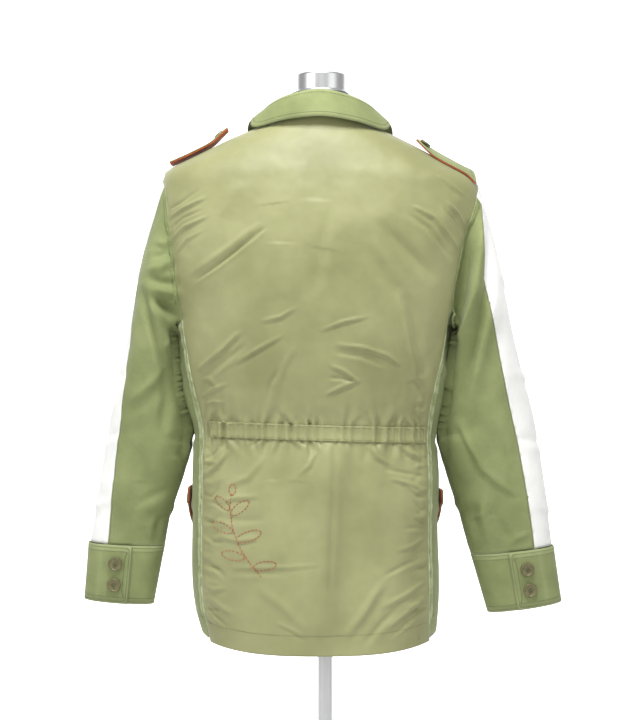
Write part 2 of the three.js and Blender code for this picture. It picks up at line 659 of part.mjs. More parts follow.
// The collar's cross-section: up the stand, over the roll and down the leaf
function collarSection(turn, side) {
  const at = (column) => sample(COLLAR, "turn", turn, column);
  const seam = neckSeam(turn);
  const out = new THREE.Vector3(seam.x - body(NECK_Z, "shift"), seam.y + 8, 0).normalize();
  const foot = seam.clone();
  foot.z += turn > 1 ? COLLAR_FOOT.front : COLLAR_FOOT.back;
  const roll = foot.clone().addScaledVector(out, at("rollOut"));
  roll.z += at("stand");
  const below = seam.clone().addScaledVector(out, at("leafOut"));
  below.x += at("spread");
  const leaf = overShoulder(below.x, below.y, COLLAR_LEAF_LIFT);
  if (leaf.z < at("leafZ")) leaf.set(below.x, below.y, at("leafZ"));
  const inside = roll.clone().addScaledVector(out, -3);
  inside.z -= 4;
  const outside = roll.clone().addScaledVector(out, 4);
  outside.z -= 4;
  outside.x += at("spread") * 0.1;
  const fall = outside.clone().lerp(leaf, 0.5).addScaledVector(out, 2.5);
  fall.z += 1;
  const line = [foot, foot.clone().lerp(inside, 0.5), inside, roll, outside, fall, leaf];
  const middle = body(NECK_Z, "shift");
  if (side === "left") return line;
  return line.map((p) => new THREE.Vector3(2 * middle - p.x, p.y, p.z - 2 * leanAt(NECK_Z) * p.x));
}

function collar() {
  const turns = steps(2 * COLLAR_HALF_COLUMNS, (t) => t * COLLAR_END);
  const left = turns.map((turn) => collarSection(turn, "left"));
  const right = turns.slice(1).map((turn) => collarSection(turn, "right")).reverse();
  return gridWall("collar", [...right, ...left].reverse(), CLOTH + 0.4, "cotton");
}

// A band's ring at a share of the way down the cuff, with the lapped end lifted over its start
function cuffRow(top, bottom, sign, share) {
  const ring = {};
  for (const key of Object.keys(bottom)) ring[key] = mix(top[key], bottom[key], share);
  const frame = ringFrame(ring, sign);
  const turn = (whole) => {
    const start = whole * CUFF.lapEnd;
    return steps(CUFF.columns, (t) => start - t * (whole + CUFF.lap));
  };
  let reach = 0;
  const places = ovalPoints(frame.halfAcross, frame.half, (whole) => {
    reach = whole;
    return turn(whole);
  });
  return places.map(([p, q], i) => {
    const gone = (i / CUFF.columns) * (reach + CUFF.lap);
    const lift = CUFF.lapRise * smooth(clamp((gone - reach + CUFF.rampFrom) / CUFF.ramp, 0, 1));
    const point = frame.centre.clone();
    point.addScaledVector(frame.across, (frame.halfAcross + lift) * p);
    point.y += (frame.half + lift) * q;
    return point;
  });
}

function cuff(side, rings, bottom) {
  const sign = side === "left" ? 1 : -1;
  const last = rings.at(-1);
  const gap = LAYER_GAP + SEAM_RETREAT;
  const top = { ...last, innerZ: last.innerZ - gap, outerZ: last.outerZ - gap };
  const rows = [0, 0.5, 1].map((share) => cuffRow(top, bottom, sign, share));
  const order = side === "left" ? rows.map((row) => row.slice().reverse()) : rows;
  return { rows, made: gridWall("cuff_" + side, order, CUFF.thickness, "cotton") };
}

// A four-hole button's disc with a raised rim, turned about its own axis
function buttonGeometry({ radius, thickness, rim }) {
  const profile = [
    [0, 0],
    [radius, 0.3],
    [radius - 0.2, thickness],
    [radius - rim, thickness],
    [radius - rim - 0.6, thickness - 0.9],
    [0, thickness - 0.9],
  ];
  return new THREE.LatheGeometry(profile.map(([r, z]) => new THREE.Vector2(r, z)), 12).rotateX(QUARTER);
}

function button(name, sizes, point, normal) {
  const made = mesh(name, buttonGeometry(sizes), "button");
  made.quaternion.setFromUnitVectors(new THREE.Vector3(0, 0, 1), normal);
  made.position.copy(point).addScaledVector(normal, LAYER_GAP);
  return made;
}

// Two buttons on the lapped end of a cuff
function cuffButtons(side, rows) {
  const column = CUFF.columns - CUFF_BUTTON.fromEnd;
  return CUFF_BUTTON.down.map((share, i) => {
    const row = share * (rows.length - 1);
    const beside = onGrid(rows, row, column + 1).sub(onGrid(rows, row, column - 1));
    const down = onGrid(rows, rows.length - 1, column).sub(onGrid(rows, 0, column));
    const normal = beside.cross(down).normalize();
    if (normal.y < 0) normal.negate();
    const point = onGrid(rows, row, column).addScaledVector(normal, 0.3);
    return button("cuff_button_" + side + "_" + (i + 1), CUFF_BUTTON, point, normal);
  });
}

// An epaulette lies over the shoulder seam from the armhole to a point near the collar
function strapPoint(t, s, side, set) {
  const sign = side === "left" ? 1 : -1;
  const pointed = t > 0.82 ? mix(1, 0.35, (t - 0.82) / 0.18) : 1;
  const half = STRAP.halfWidth * mix(1, 0.9, t) * pointed;
  const x = sign * mix(STRAP.outerX, STRAP.innerX, t);
  const y = set.shiftBack + half * s;
  const curl = set.curl * smooth(clamp((t - 0.7) / 0.3, 0, 1)) + set.lift * clamp(s, 0, 1) ** 2;
  return new THREE.Vector3(x, y, shoulderHeight(x, y) + curl);
}

function strap(side, set) {
  const points = steps(STRAP.rows, (s) => steps(STRAP.columns, (t) => strapPoint(t, s * 2 - 1, side, set)));
  const seat = side === "right" ? points : points.map((row) => row.slice().reverse());
  const lining = raised(seat, STRAP.seat + STRAP.lining);
  const top = raised(lining, LAYER_GAP + CLOTH);
  const under = gridWall("epaulette_" + side + "_lining", lining, STRAP.lining, "rust");
  const over = gridWall("epaulette_" + side, top, CLOTH, "cotton");
  const middle = STRAP.rows / 2;
  const column = side === "right" ? STRAP.columns - 1 : 1;
  const [before, after] = [top[middle][column - 1], top[middle][column + 1]];
  const across = top[middle + 1][column].clone().sub(top[middle - 1][column]);
  const normal = after.clone().sub(before).cross(across).normalize();
  const place = top[middle][column].clone().addScaledVector(normal, 0.5);
  return [under, over, button("epaulette_button_" + side, STRAP_BUTTON, place, normal)];
}

// A patch that lies on the front, between two angles and two heights, moved out by a lift
const nearRear = (u) => smooth(clamp(u * 3 - 2, 0, 1));

function patch(name, side, area, lift, thickness, colour) {
  const slant = area.slant ?? 0;
  const rows = steps(area.rows, (v) =>
    steps(area.columns, (u) => {
      const z = mix(area.bottom + slant * nearRear(u), area.top, v);
      const angle = mix(area.from, area.to, u);
      return liftedPoint(mirrored(angle, side), z, lift(u, v));
    }),
  );
  const order = side === "left" ? rows : rows.map((row) => row.slice().reverse());
  return gridWall(name, order, thickness, colour);
}

const POCKET = { from: -1.12, to: -0.16, bottom: 545, top: 668, columns: 6, rows: 3, bulge: 5 };
const FLAP = {
  from: -1.15,
  to: 0.06,
  bottom: 652,
  top: 716,
  columns: 7,
  rows: 3,
  clear: 1.4,
  rear: 3.6,
  slant: 27,
  lining: 1.2,
  seat: 0.8,
};

// A hip pocket and its flap, whose rear end stands away from the side
function pocket(side) {
  const on = LAYER_GAP + CLOTH + 0.6;
  const swell = (u, v) => Math.sin(Math.PI * u) * Math.sin(Math.PI * (0.15 + 0.7 * v));
  const pocketLift = (u, v) => on + POCKET.bulge * swell(u, v);
  const over = (u) => mix(on + POCKET.bulge + FLAP.clear, FLAP.rear, nearRear(u));
  const flapLift = (u, v) => mix(over(u), FLAP.seat, smooth(clamp(v * 1.3 - 0.3, 0, 1)));
  const lined = (u, v) => flapLift(u, v) + FLAP.lining;
  const outer = (u, v) => lined(u, v) + LAYER_GAP + CLOTH;
  return [
    patch("pocket_" + side, side, POCKET, pocketLift, CLOTH, "cotton"),
    patch("pocket_flap_" + side + "_lining", side, FLAP, lined, FLAP.lining, "rust"),
    patch("pocket_flap_" + side, side, FLAP, outer, CLOTH, "cotton"),
  ];
}

const PLACKET = { half: 0.105, bottom: 519, top: 1116, columns: 2, rows: 14, buttons: 5 };

// The fly over the centre front, with its buttons
function placket() {
  const lift = LAYER_GAP + CLOTH;
  const area = { ...PLACKET, from: -QUARTER - PLACKET.half, to: -QUARTER + PLACKET.half };
  const strip = patch("front_placket", "left", area, () => lift + 0.6, CLOTH, "cotton");
  const buttons = steps(PLACKET.buttons - 1, (t, i) => {
    const z = mix(PLACKET.bottom + 95, PLACKET.top - 45, t);
    const point = liftedPoint(-QUARTER, z, lift + 0.9);
    return button("front_button_" + (i + 1), FRONT_BUTTON, point, bodyNormal(-QUARTER, z));
  });
  return [strip, ...buttons];
}

// The dress form fills the shoulders just under the cloth and hangs clear of it below
const FORM_ROWS = [
  { z: 590, inset: 24 }, { z: 660, inset: 20 }, { z: 735, inset: 19 }, { z: 797, inset: 15 },
  { z: 866, inset: 16 }, { z: 944, inset: 16 }, { z: 1012, inset: 15 }, { z: 1080, inset: 12 },
  { z: 1128, inset: 8 }, { z: 1142, inset: 7 }, { z: 1152, inset: 5 }, { z: 1165, inset: 2.2 },
  { z: 1174, inset: 2.0 }, { z: 1185, inset: 2.0 }, { z: 1197, inset: 2.0 }, { z: 1209, inset: 2.0 },
  { z: 1220, inset: 2.0 },
];
const FORM_COLUMNS = 28;
const FORM_FRONT_EASE = 2.8;
const FORM_NECK = [
  { z: 1229, radius: 62 }, { z: 1240, radius: 55 }, { z: 1256, radius: 51 }, { z: 1266, radius: 50 },
];

function formTorso() {
  const middle = body(NECK_Z, "shift");
  const rings = FORM_ROWS.map(({ z, inset }) =>
    steps(FORM_COLUMNS - 1, (_, i) => {
      const angle = (i / FORM_COLUMNS) * TURN;
      return liftedPoint(angle, z, -inset - FORM_FRONT_EASE * Math.sqrt(Math.max(-Math.sin(angle), 0)));
    }),
  );
  const low = rings[0];
  low.forEach((point) => (point.z = FORM.bottomZ));
  for (const { z, radius } of FORM_NECK) {
    rings.push(
      steps(FORM_COLUMNS - 1, (_, i) => {
        const angle = (i / FORM_COLUMNS) * TURN;
        return new THREE.Vector3(middle + radius * Math.cos(angle), radius * Math.sin(angle), z);
      }),
    );
  }
  const points = rings.flat();
  const faces = [];
  for (let r = 0; r + 1 < rings.length; r++) {
    for (let c = 0; c < FORM_COLUMNS; c++) {
      const [a, b] = [r * FORM_COLUMNS + c, r * FORM_COLUMNS + ((c + 1) % FORM_COLUMNS)];
      faces.push(a, b, b + FORM_COLUMNS, a, b + FORM_COLUMNS, a + FORM_COLUMNS);
    }
  }
  const last = (rings.length - 1) * FORM_COLUMNS;
  points.push(new THREE.Vector3(middle, 0, FORM.bottomZ));
  points.push(new THREE.Vector3(middle, 0, FORM_NECK.at(-1).z));
  for (let c = 0; c < FORM_COLUMNS; c++) {
    const next = (c + 1) % FORM_COLUMNS;
    faces.push(next, c, points.length - 2, last + c, last + next, points.length - 1);
  }
  const geometry = new THREE.BufferGeometry().setFromPoints(points);
  geometry.setIndex(faces);
  geometry.computeVertexNormals();
  return mesh("form_torso", geometry, "black");
}

// A turned piece from pairs of radius and height
function turned(name, pairs, segments, colour) {
  const profile = pairs.map(([radius, z]) => new THREE.Vector2(radius, z));
  return mesh(name, new THREE.LatheGeometry(profile, segments).rotateX(QUARTER), colour);
}

function neckCap() {
  const { capRadius, capBottomZ, topZ } = FORM;
  const pairs = [
    [0, capBottomZ - 2.2],
    [capRadius + 3, capBottomZ - 2.2],
    [capRadius + 3, capBottomZ],
    [capRadius, capBottomZ + 1.5],
    [capRadius, topZ - 4],
    [capRadius - 4, topZ],
    [0, topZ],
  ];
  const made = turned("neck_cap", pairs, 32, "chrome");
  made.position.x = body(NECK_Z, "shift");
  return made;
}

function stand() {
  const poleFoot = BASE.height + LAYER_GAP;
  const poleTop = FORM.bottomZ - LAYER_GAP;
  const { radius, flangeRadius, flangeHeight } = POLE;
  const pole = [
    [0, poleFoot],
    [flangeRadius, poleFoot],
    [flangeRadius, poleFoot + 4],
    [radius + 4, poleFoot + flangeHeight],
    [radius, poleFoot + flangeHeight + 4],
    [radius, poleTop],
    [0, poleTop],
  ];
  const disc = [
    [0, 0],
    [BASE.radius, 0],
    [BASE.radius, BASE.height - BASE.edge],
    [BASE.radius - BASE.edge, BASE.height],
    [0, BASE.height],
  ];
  return [turned("pole", pole, 24, "chrome"), turned("base", disc, 48, "chrome")];
}

function lowerFrontHem(panel) {
  for (const [key, i] of panel.index) {
    if (key.startsWith("body:0:")) panel.points[i].z += FRONT_HEM_STEP;
  }
  return panel;
}

// The body and both sleeves are one sewn surface
function sewnPanels() {
  const cloth = new Cloth();
  const backRows = addBack(cloth);
  addFront(cloth, "left");
  addFront(cloth, "right");
  addSleeve(cloth, "left", LEFT_SLEEVE);
  addSleeve(cloth, "right", RIGHT_SLEEVE);
  shapeFolds(cloth);
  const colours = (name) => (name === "back_panel" ? "nylon" : name.endsWith("stripe") ? "white" : "cotton");
  const made = [...cloth.panels.keys()].map((name) => {
    const panel = cloth.panel(name);
    if (name.startsWith("front")) lowerFrontHem(panel);
    return mesh(name, wallGeometry(panel, CLOTH), colours(name));
  });
  return [...made, waistCasing(cloth, backRows)];
}

const STRAP_SETS = {
  left: { shiftBack: 3, curl: 9, lift: 5 },
  right: { shiftBack: 20, curl: 4, lift: 2 },
};

const jacket = new THREE.Group();
jacket.position.x = FORM_OFF_POLE;
jacket.add(...sewnPanels(), collar(), ...placket(), formTorso(), neckCap());
for (const side of ["left", "right"]) {
  const [rings, bottom] = side === "left" ? [LEFT_SLEEVE, LEFT_CUFF] : [RIGHT_SLEEVE, RIGHT_CUFF];
  const { rows, made } = cuff(side, rings, bottom);
  jacket.add(made, ...cuffButtons(side, rows), ...strap(side, STRAP_SETS[side]), ...pocket(side));
}

const root = new THREE.Group();
root.add(jacket, ...stand());

export default root;
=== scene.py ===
# %% [markdown]
# A field jacket on a dress form, seen from behind. The pattern pieces are already there as thin rigid
# walls at their true size. This script gives each one the look of real cloth: it takes the visible side of a
# wall, smooths it, presses the folds into it and gives it a thin cloth's thickness again.
# The frame is loaded first, because every piece has to stay where its wall is.

# %% Load the frame
import json
import math

import bmesh
import bpy
import numpy as np
from mathutils import Matrix, Vector
from mathutils.bvhtree import BVHTree
from mathutils.kdtree import KDTree
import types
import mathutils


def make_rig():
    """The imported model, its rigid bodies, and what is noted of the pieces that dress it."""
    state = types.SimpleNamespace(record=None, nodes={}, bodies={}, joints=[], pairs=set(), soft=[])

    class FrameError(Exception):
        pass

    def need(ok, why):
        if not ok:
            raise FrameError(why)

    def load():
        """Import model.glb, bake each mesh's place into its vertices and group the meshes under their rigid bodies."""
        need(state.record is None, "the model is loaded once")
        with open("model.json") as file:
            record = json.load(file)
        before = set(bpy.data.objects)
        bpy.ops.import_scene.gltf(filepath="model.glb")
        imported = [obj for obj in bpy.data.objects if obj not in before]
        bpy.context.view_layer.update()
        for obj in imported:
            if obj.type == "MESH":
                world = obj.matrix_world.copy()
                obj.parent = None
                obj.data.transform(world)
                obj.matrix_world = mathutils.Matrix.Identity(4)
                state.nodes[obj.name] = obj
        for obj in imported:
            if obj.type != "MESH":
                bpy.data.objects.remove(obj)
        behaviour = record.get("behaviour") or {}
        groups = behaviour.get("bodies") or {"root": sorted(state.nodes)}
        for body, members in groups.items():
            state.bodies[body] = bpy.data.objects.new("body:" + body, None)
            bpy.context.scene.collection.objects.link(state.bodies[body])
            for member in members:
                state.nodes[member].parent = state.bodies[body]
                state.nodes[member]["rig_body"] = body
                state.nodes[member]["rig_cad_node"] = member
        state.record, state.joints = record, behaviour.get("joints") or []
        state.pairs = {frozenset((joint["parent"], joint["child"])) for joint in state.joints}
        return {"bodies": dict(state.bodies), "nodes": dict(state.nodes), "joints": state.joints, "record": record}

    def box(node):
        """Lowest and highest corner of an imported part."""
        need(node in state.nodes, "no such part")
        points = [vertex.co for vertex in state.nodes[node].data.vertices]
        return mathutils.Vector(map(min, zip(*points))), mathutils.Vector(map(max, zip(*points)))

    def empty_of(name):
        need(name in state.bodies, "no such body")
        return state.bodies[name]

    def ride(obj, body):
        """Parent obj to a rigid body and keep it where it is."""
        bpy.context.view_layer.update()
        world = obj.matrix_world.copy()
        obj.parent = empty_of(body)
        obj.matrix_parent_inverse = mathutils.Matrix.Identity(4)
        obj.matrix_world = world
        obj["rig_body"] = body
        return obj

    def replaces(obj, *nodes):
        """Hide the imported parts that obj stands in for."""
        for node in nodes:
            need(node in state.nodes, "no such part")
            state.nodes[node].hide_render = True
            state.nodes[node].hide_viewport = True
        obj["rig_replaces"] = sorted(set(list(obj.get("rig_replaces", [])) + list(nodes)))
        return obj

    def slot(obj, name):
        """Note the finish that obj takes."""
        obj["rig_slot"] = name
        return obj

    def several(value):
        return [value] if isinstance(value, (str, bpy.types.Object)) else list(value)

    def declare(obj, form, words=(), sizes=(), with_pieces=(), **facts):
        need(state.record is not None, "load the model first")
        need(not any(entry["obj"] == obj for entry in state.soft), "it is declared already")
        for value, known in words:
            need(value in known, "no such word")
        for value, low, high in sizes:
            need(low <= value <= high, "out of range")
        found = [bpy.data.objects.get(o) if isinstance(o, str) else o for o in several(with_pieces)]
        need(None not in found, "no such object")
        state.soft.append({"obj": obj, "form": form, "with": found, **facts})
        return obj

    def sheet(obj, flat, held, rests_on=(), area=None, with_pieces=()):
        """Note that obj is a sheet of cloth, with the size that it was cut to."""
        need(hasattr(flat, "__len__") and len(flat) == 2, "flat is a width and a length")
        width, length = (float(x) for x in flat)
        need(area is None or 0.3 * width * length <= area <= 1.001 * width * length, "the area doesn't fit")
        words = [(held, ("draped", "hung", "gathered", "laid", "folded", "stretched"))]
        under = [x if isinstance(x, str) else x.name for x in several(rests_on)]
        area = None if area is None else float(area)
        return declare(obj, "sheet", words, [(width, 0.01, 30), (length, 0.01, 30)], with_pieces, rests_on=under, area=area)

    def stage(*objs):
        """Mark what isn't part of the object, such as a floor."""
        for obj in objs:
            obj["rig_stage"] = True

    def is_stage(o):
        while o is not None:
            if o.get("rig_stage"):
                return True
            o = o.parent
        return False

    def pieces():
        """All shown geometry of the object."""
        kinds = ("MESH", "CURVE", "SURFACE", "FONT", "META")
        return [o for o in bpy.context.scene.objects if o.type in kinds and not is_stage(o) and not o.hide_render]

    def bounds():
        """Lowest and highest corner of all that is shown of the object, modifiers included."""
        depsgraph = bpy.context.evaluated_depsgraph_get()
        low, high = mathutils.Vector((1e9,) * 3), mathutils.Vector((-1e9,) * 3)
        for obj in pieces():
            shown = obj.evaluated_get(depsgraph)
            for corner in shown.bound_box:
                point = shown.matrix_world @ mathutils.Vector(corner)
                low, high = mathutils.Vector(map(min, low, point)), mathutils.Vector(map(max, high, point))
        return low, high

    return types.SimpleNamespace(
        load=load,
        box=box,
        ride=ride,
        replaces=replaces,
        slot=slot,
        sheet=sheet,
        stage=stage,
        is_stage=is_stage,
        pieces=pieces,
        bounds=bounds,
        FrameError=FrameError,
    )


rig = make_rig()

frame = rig.load()
cad_low, cad_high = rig.bounds()
MM = 0.001
SIDES = ("left", "right")
print("frame:", len(frame["nodes"]), "nodes")

# %% [markdown]
# Colours are written as hex numbers, as a dye card or a photograph gives them. The shader works with linear
# light, so one function turns a hex colour into linear values. Materials are built from nodes, and one small
# function adds a node, sets its values and joins it up, so each material reads as a short list.

# %% Colours and nodes
def linear(hex_colour):
    channels = [int(hex_colour[i:i + 2], 16) / 255 for i in (1, 3, 5)]
    return [c / 12.92 if c <= 0.04045 else ((c + 0.055) / 1.055) ** 2.4 for c in channels] + [1.0]


def add_node(tree, kind, values=None, links=None, **settings):
    node = tree.nodes.new(kind)
    for name, value in settings.items():
        setattr(node, name, value)
    for socket, value in (values or {}).items():
        node.inputs[socket].default_value = value
    for socket, source in (links or {}).items():
        tree.links.new(source, node.inputs[socket])
    return node


def new_material(name, base, roughness, metallic=0.0, **shader):
    material = bpy.data.materials.new(name)
    material.use_nodes = True
    tree = material.node_tree
    surface = next(n for n in tree.nodes if n.type == "BSDF_PRINCIPLED")
    surface.inputs["Base Color"].default_value = linear(base)
    surface.inputs["Roughness"].default_value = roughness
    surface.inputs["Metallic"].default_value = metallic
    for socket, value in shader.items():
        surface.inputs[socket.replace("_", " ")].default_value = value
    return material, tree, surface


def colour_mix(tree, factor, dark, light):
    """A colour between two hex colours. The mix node's colour sockets are numbers 6 and 7, its result is 2"""
    mix = add_node(tree, "ShaderNodeMix", {6: linear(dark), 7: linear(light)}, {0: factor}, data_type="RGBA")
    return mix.outputs[2]


# %% [markdown]
# Cotton twill is woven so that its threads climb one step in each row, which draws fine slanting ribs. A wave
# texture along a slanted direction gives them. Real threads here are about 0.4 mm apart, too fine to show, so
# the ribs are drawn 1.3 mm apart. Washing fades cloth unevenly, so two noises, one hand-sized and one fine,
# shift the colour a little, and the cotton is paler near its edges.

# %% Woven cloth materials
def woven(name, dark, light, roughness, rib, depth, sheen, patch_size=60, slant=(1, 0.55, 0.9), fleck=0.25,
          faded="#b9c196", fade=0.0, crinkle=0.3):
    material, tree, surface = new_material(name, dark, roughness, Sheen_Weight=sheen, Sheen_Roughness=0.45)
    where = add_node(tree, "ShaderNodeTexCoord").outputs["Object"]
    turned = add_node(tree, "ShaderNodeMapping", {"Scale": slant}, {"Vector": where}).outputs["Vector"]
    patches = add_node(tree, "ShaderNodeTexNoise",
                       {"Scale": 1000 / patch_size, "Detail": 4.0, "Roughness": 0.6}, {"Vector": where})
    flecks = add_node(tree, "ShaderNodeTexNoise", {"Scale": 900.0, "Detail": 2.0}, {"Vector": where})
    ribs = add_node(tree, "ShaderNodeTexWave", {"Scale": 1 / (rib * MM) / math.tau * 2, "Distortion": 1.2,
                    "Detail": 1.0, "Detail Scale": 3.0}, {"Vector": turned}, bands_direction="DIAGONAL")
    blend = add_node(tree, "ShaderNodeMix", {0: fleck}, {2: patches.outputs["Fac"], 3: flecks.outputs["Fac"]})
    spread = add_node(tree, "ShaderNodeMapRange", {"From Min": 0.36, "From Max": 0.64},
                      {"Value": blend.outputs[0]})
    colour = colour_mix(tree, spread.outputs[0], dark, light)
    if fade:
        wear = add_node(tree, "ShaderNodeAttribute", attribute_name="wear")
        amount = add_node(tree, "ShaderNodeMath", {1: fade}, {0: wear.outputs["Fac"]}, operation="MULTIPLY")
        worn = add_node(tree, "ShaderNodeMix", {7: linear(faded)}, {0: amount.outputs[0], 6: colour},
                        data_type="RGBA")
        colour = worn.outputs[2]
    tree.links.new(colour, surface.inputs["Base Color"])
    bump = add_node(tree, "ShaderNodeBump", {"Strength": depth, "Distance": 0.0004},
                    {"Height": ribs.outputs["Fac"]})
    soft = add_node(tree, "ShaderNodeTexNoise", {"Scale": 17.0, "Detail": 2.0, "Roughness": 0.45},
                    {"Vector": where})
    creased = add_node(tree, "ShaderNodeBump", {"Strength": crinkle, "Distance": 0.01},
                       {"Height": soft.outputs["Fac"], "Normal": bump.outputs["Normal"]})
    tree.links.new(creased.outputs["Normal"], surface.inputs["Normal"])
    return material


COTTON = woven("washed cotton twill", "#7b8554", "#909866", 0.86, 1.3, 0.35, 0.12, fade=0.22)
NYLON = woven("satin weave nylon", "#87885a", "#9d9e6f", 0.49, 0.9, 0.12, 0.2, patch_size=140, fleck=0.08,
              crinkle=0.42)
WHITE = woven("bleached cotton twill", "#ecece9", "#fbfbf8", 0.85, 1.3, 0.25, 0.1)
RUST = woven("rust cotton lining", "#a8481c", "#c8663a", 0.85, 1.1, 0.3, 0.2)
FELLED = woven("felled seam cotton", "#8b9566", "#bfc79c", 0.86, 1.3, 0.35, 0.12, patch_size=11)
THREAD = woven("polyester sewing thread", "#4c5633", "#5f6a42", 0.6, 0.4, 0.2, 0.1)
PALE_THREAD = woven("khaki sewing thread", "#6b6a44", "#7f7e54", 0.6, 0.4, 0.2, 0.1)
print("cloth materials:", [m.name for m in (COTTON, NYLON, WHITE, RUST, FELLED, THREAD)])

# %% [markdown]
# Chrome plate is fully metallic and faintly grey. It is given some roughness here, which keeps reflections
# soft. The form is covered with black jersey. The buttons are moulded plastic, glossy and cloudy in colour.

# %% Hard materials
def plain(name, dark, light, roughness, metallic=0.0, size=30, **shader):
    material, tree, surface = new_material(name, dark, roughness, metallic, **shader)
    where = add_node(tree, "ShaderNodeTexCoord").outputs["Object"]
    cloud = add_node(tree, "ShaderNodeTexNoise", {"Scale": 1000 / size, "Detail": 3.0}, {"Vector": where})
    tree.links.new(colour_mix(tree, cloud.outputs["Fac"], dark, light), surface.inputs["Base Color"])
    uneven = add_node(tree, "ShaderNodeMapRange", {"To Min": roughness * 0.8, "To Max": roughness * 1.25},
                      {"Value": cloud.outputs["Fac"]})
    tree.links.new(uneven.outputs[0], surface.inputs["Roughness"])
    return material


CHROME = plain("polished chrome plate", "#e3e4e5", "#f5f5f5", 0.32, 1.0, size=200)
BUTTON = plain("moulded button plastic", "#4f4a2e", "#827d55", 0.24, size=4)
JERSEY = woven("black form jersey", "#111113", "#1c1c1f", 0.9, 1.6, 0.4, 0.3)
print("hard materials:", CHROME.name, BUTTON.name, JERSEY.name)

# %% [markdown]
# Each wall has a visible side, a hidden side and a rim one cloth's thickness wide. The rim meets both sides
# at a right angle, so walking from face to face over edges that turn less than that finds each side by
# itself. The side whose faces look away from the middle of the garment is the visible one.

# %% The visible side of a wall
RIM_TURN = math.radians(58)


def sides_of(bm):
    bm.faces.ensure_lookup_table()
    left = set(bm.faces)
    while left:
        group, queue = set(), [left.pop()]
        while queue:
            face = queue.pop()
            group.add(face)
            for edge in face.edges:
                if len(edge.link_faces) == 2 and edge.calc_face_angle(math.pi) < RIM_TURN:
                    for other in edge.link_faces:
                        if other in left:
                            left.discard(other)
                            queue.append(other)
        yield group


def quads_again(bm):
    """Takes out the diagonal of each pair of triangles, which is the longest edge of both"""
    longest = {f: max(f.edges, key=lambda e: e.calc_length()) for f in bm.faces}
    diagonals = [e for e in bm.edges if len(e.link_faces) == 2 and all(longest[f] == e for f in e.link_faces)]
    bmesh.ops.dissolve_edges(bm, edges=diagonals, use_verts=False)
    threes = [f for f in bm.faces if len(f.verts) == 3]
    bmesh.ops.join_triangles(bm, faces=threes, angle_face_threshold=3.1, angle_shape_threshold=3.1)


def visible_side(node, looks_out):
    bm = bmesh.new()
    bm.from_mesh(frame["nodes"][node].data)
    bmesh.ops.remove_doubles(bm, verts=bm.verts, dist=0.02 * MM)
    def showing(group):
        return sum(f.calc_area() * f.normal.dot(looks_out(f.calc_center_median())) for f in group)
    seen = max(sides_of(bm), key=showing)
    bmesh.ops.delete(bm, geom=[f for f in bm.faces if f not in seen], context="FACES")
    quads_again(bm)
    return bm


def from_axis(x):
    """Looks away from an upright line through the middle of the body"""
    return lambda p: Vector((p.x - x, p.y, 0)).normalized()


def from_sleeve(side):
    """Looks away from the slanting middle line of a sleeve"""
    low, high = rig.box("cuff_" + side)
    wrist = (low + high) / 2
    upper = Vector((math.copysign(0.2, wrist.x), 0, 1.06))
    along = upper - wrist
    def look(p):
        t = (p - wrist).dot(along) / along.length_squared
        return (p - wrist - along * t).normalized()
    return look


def away_upward(p):
    return Vector((0, 0, 1))


BODY_X = 0.0045
SLEEVES = ["sleeve_" + side + "_" + part for side in SIDES for part in ("back", "stripe", "front")]
SEWN = ["back_panel", "front_left", "front_right"] + SLEEVES
PANEL_CLOTH = {name: COTTON for name in SEWN}
PANEL_CLOTH["back_panel"] = NYLON
for side in SIDES:
    PANEL_CLOTH["sleeve_" + side + "_stripe"] = WHITE

# %% [markdown]
# The body and the sleeves are sewn together, so their visible sides are welded into one surface before they
# are smoothed: then the cloth runs through each seam without a step. Each face keeps its panel's number, and
# the surface is cut apart again at the end.

# %% Weld the sewn panels
def joined(names, looks_out, weld):
    whole = bmesh.new()
    for number, name in enumerate(names):
        bm = visible_side(name, looks_out(name))
        for face in bm.faces:
            face.material_index = number
        part = bpy.data.meshes.new(name)
        bm.to_mesh(part)
        bm.free()
        whole.from_mesh(part)
    open_verts = [v for v in whole.verts if v.is_boundary]
    bmesh.ops.remove_doubles(whole, verts=open_verts, dist=weld)
    bmesh.ops.holes_fill(whole, edges=[e for e in whole.edges if e.is_boundary], sides=9)
    return whole


def outward_of(name):
    for side in SIDES:
        if name.startswith("sleeve_" + side):
            return from_sleeve(side)
    return from_axis(BODY_X)


def smoothed(bm, levels):
    """Catmull-Clark smoothing, by the modifier of that name, whose result is kept"""
    mesh = bpy.data.meshes.new("smoothed")
    bm.to_mesh(mesh)
    bm.free()
    holder = bpy.data.objects.new("smoothed", mesh)
    bpy.context.scene.collection.objects.link(holder)
    modifier = holder.modifiers.new("Subdivision", "SUBSURF")
    modifier.levels = modifier.render_levels = levels
    modifier.boundary_smooth = "PRESERVE_CORNERS"
    result = bpy.data.meshes.new_from_object(holder.evaluated_get(bpy.context.evaluated_depsgraph_get()))
    bpy.data.objects.remove(holder)
    return result


sewn = joined(SEWN, outward_of, 2 * MM)
print("sewn surface:", len(sewn.faces), "faces,", sum(len(f.verts) != 4 for f in sewn.faces), "not quads,",
      sum(e.is_boundary for e in sewn.edges), "open edges,",
      sum(len(e.link_faces) > 2 for e in sewn.edges), "edges with three faces")


def finer(mesh, longest, panel=None):
    """Halves the edges that are longer than that, in up to three rounds, until few are left"""
    bm = bmesh.new()
    bm.from_mesh(mesh)
    for turn in range(3):
        long_edges = [e for e in bm.edges if e.calc_length() > longest and
                      (panel is None or all(f.material_index == panel for f in e.link_faces))]
        if len(long_edges) < 50:
            break
        bmesh.ops.subdivide_edges(bm, edges=long_edges, cuts=1, use_grid_fill=True)
    bm.to_mesh(mesh)
    bm.free()


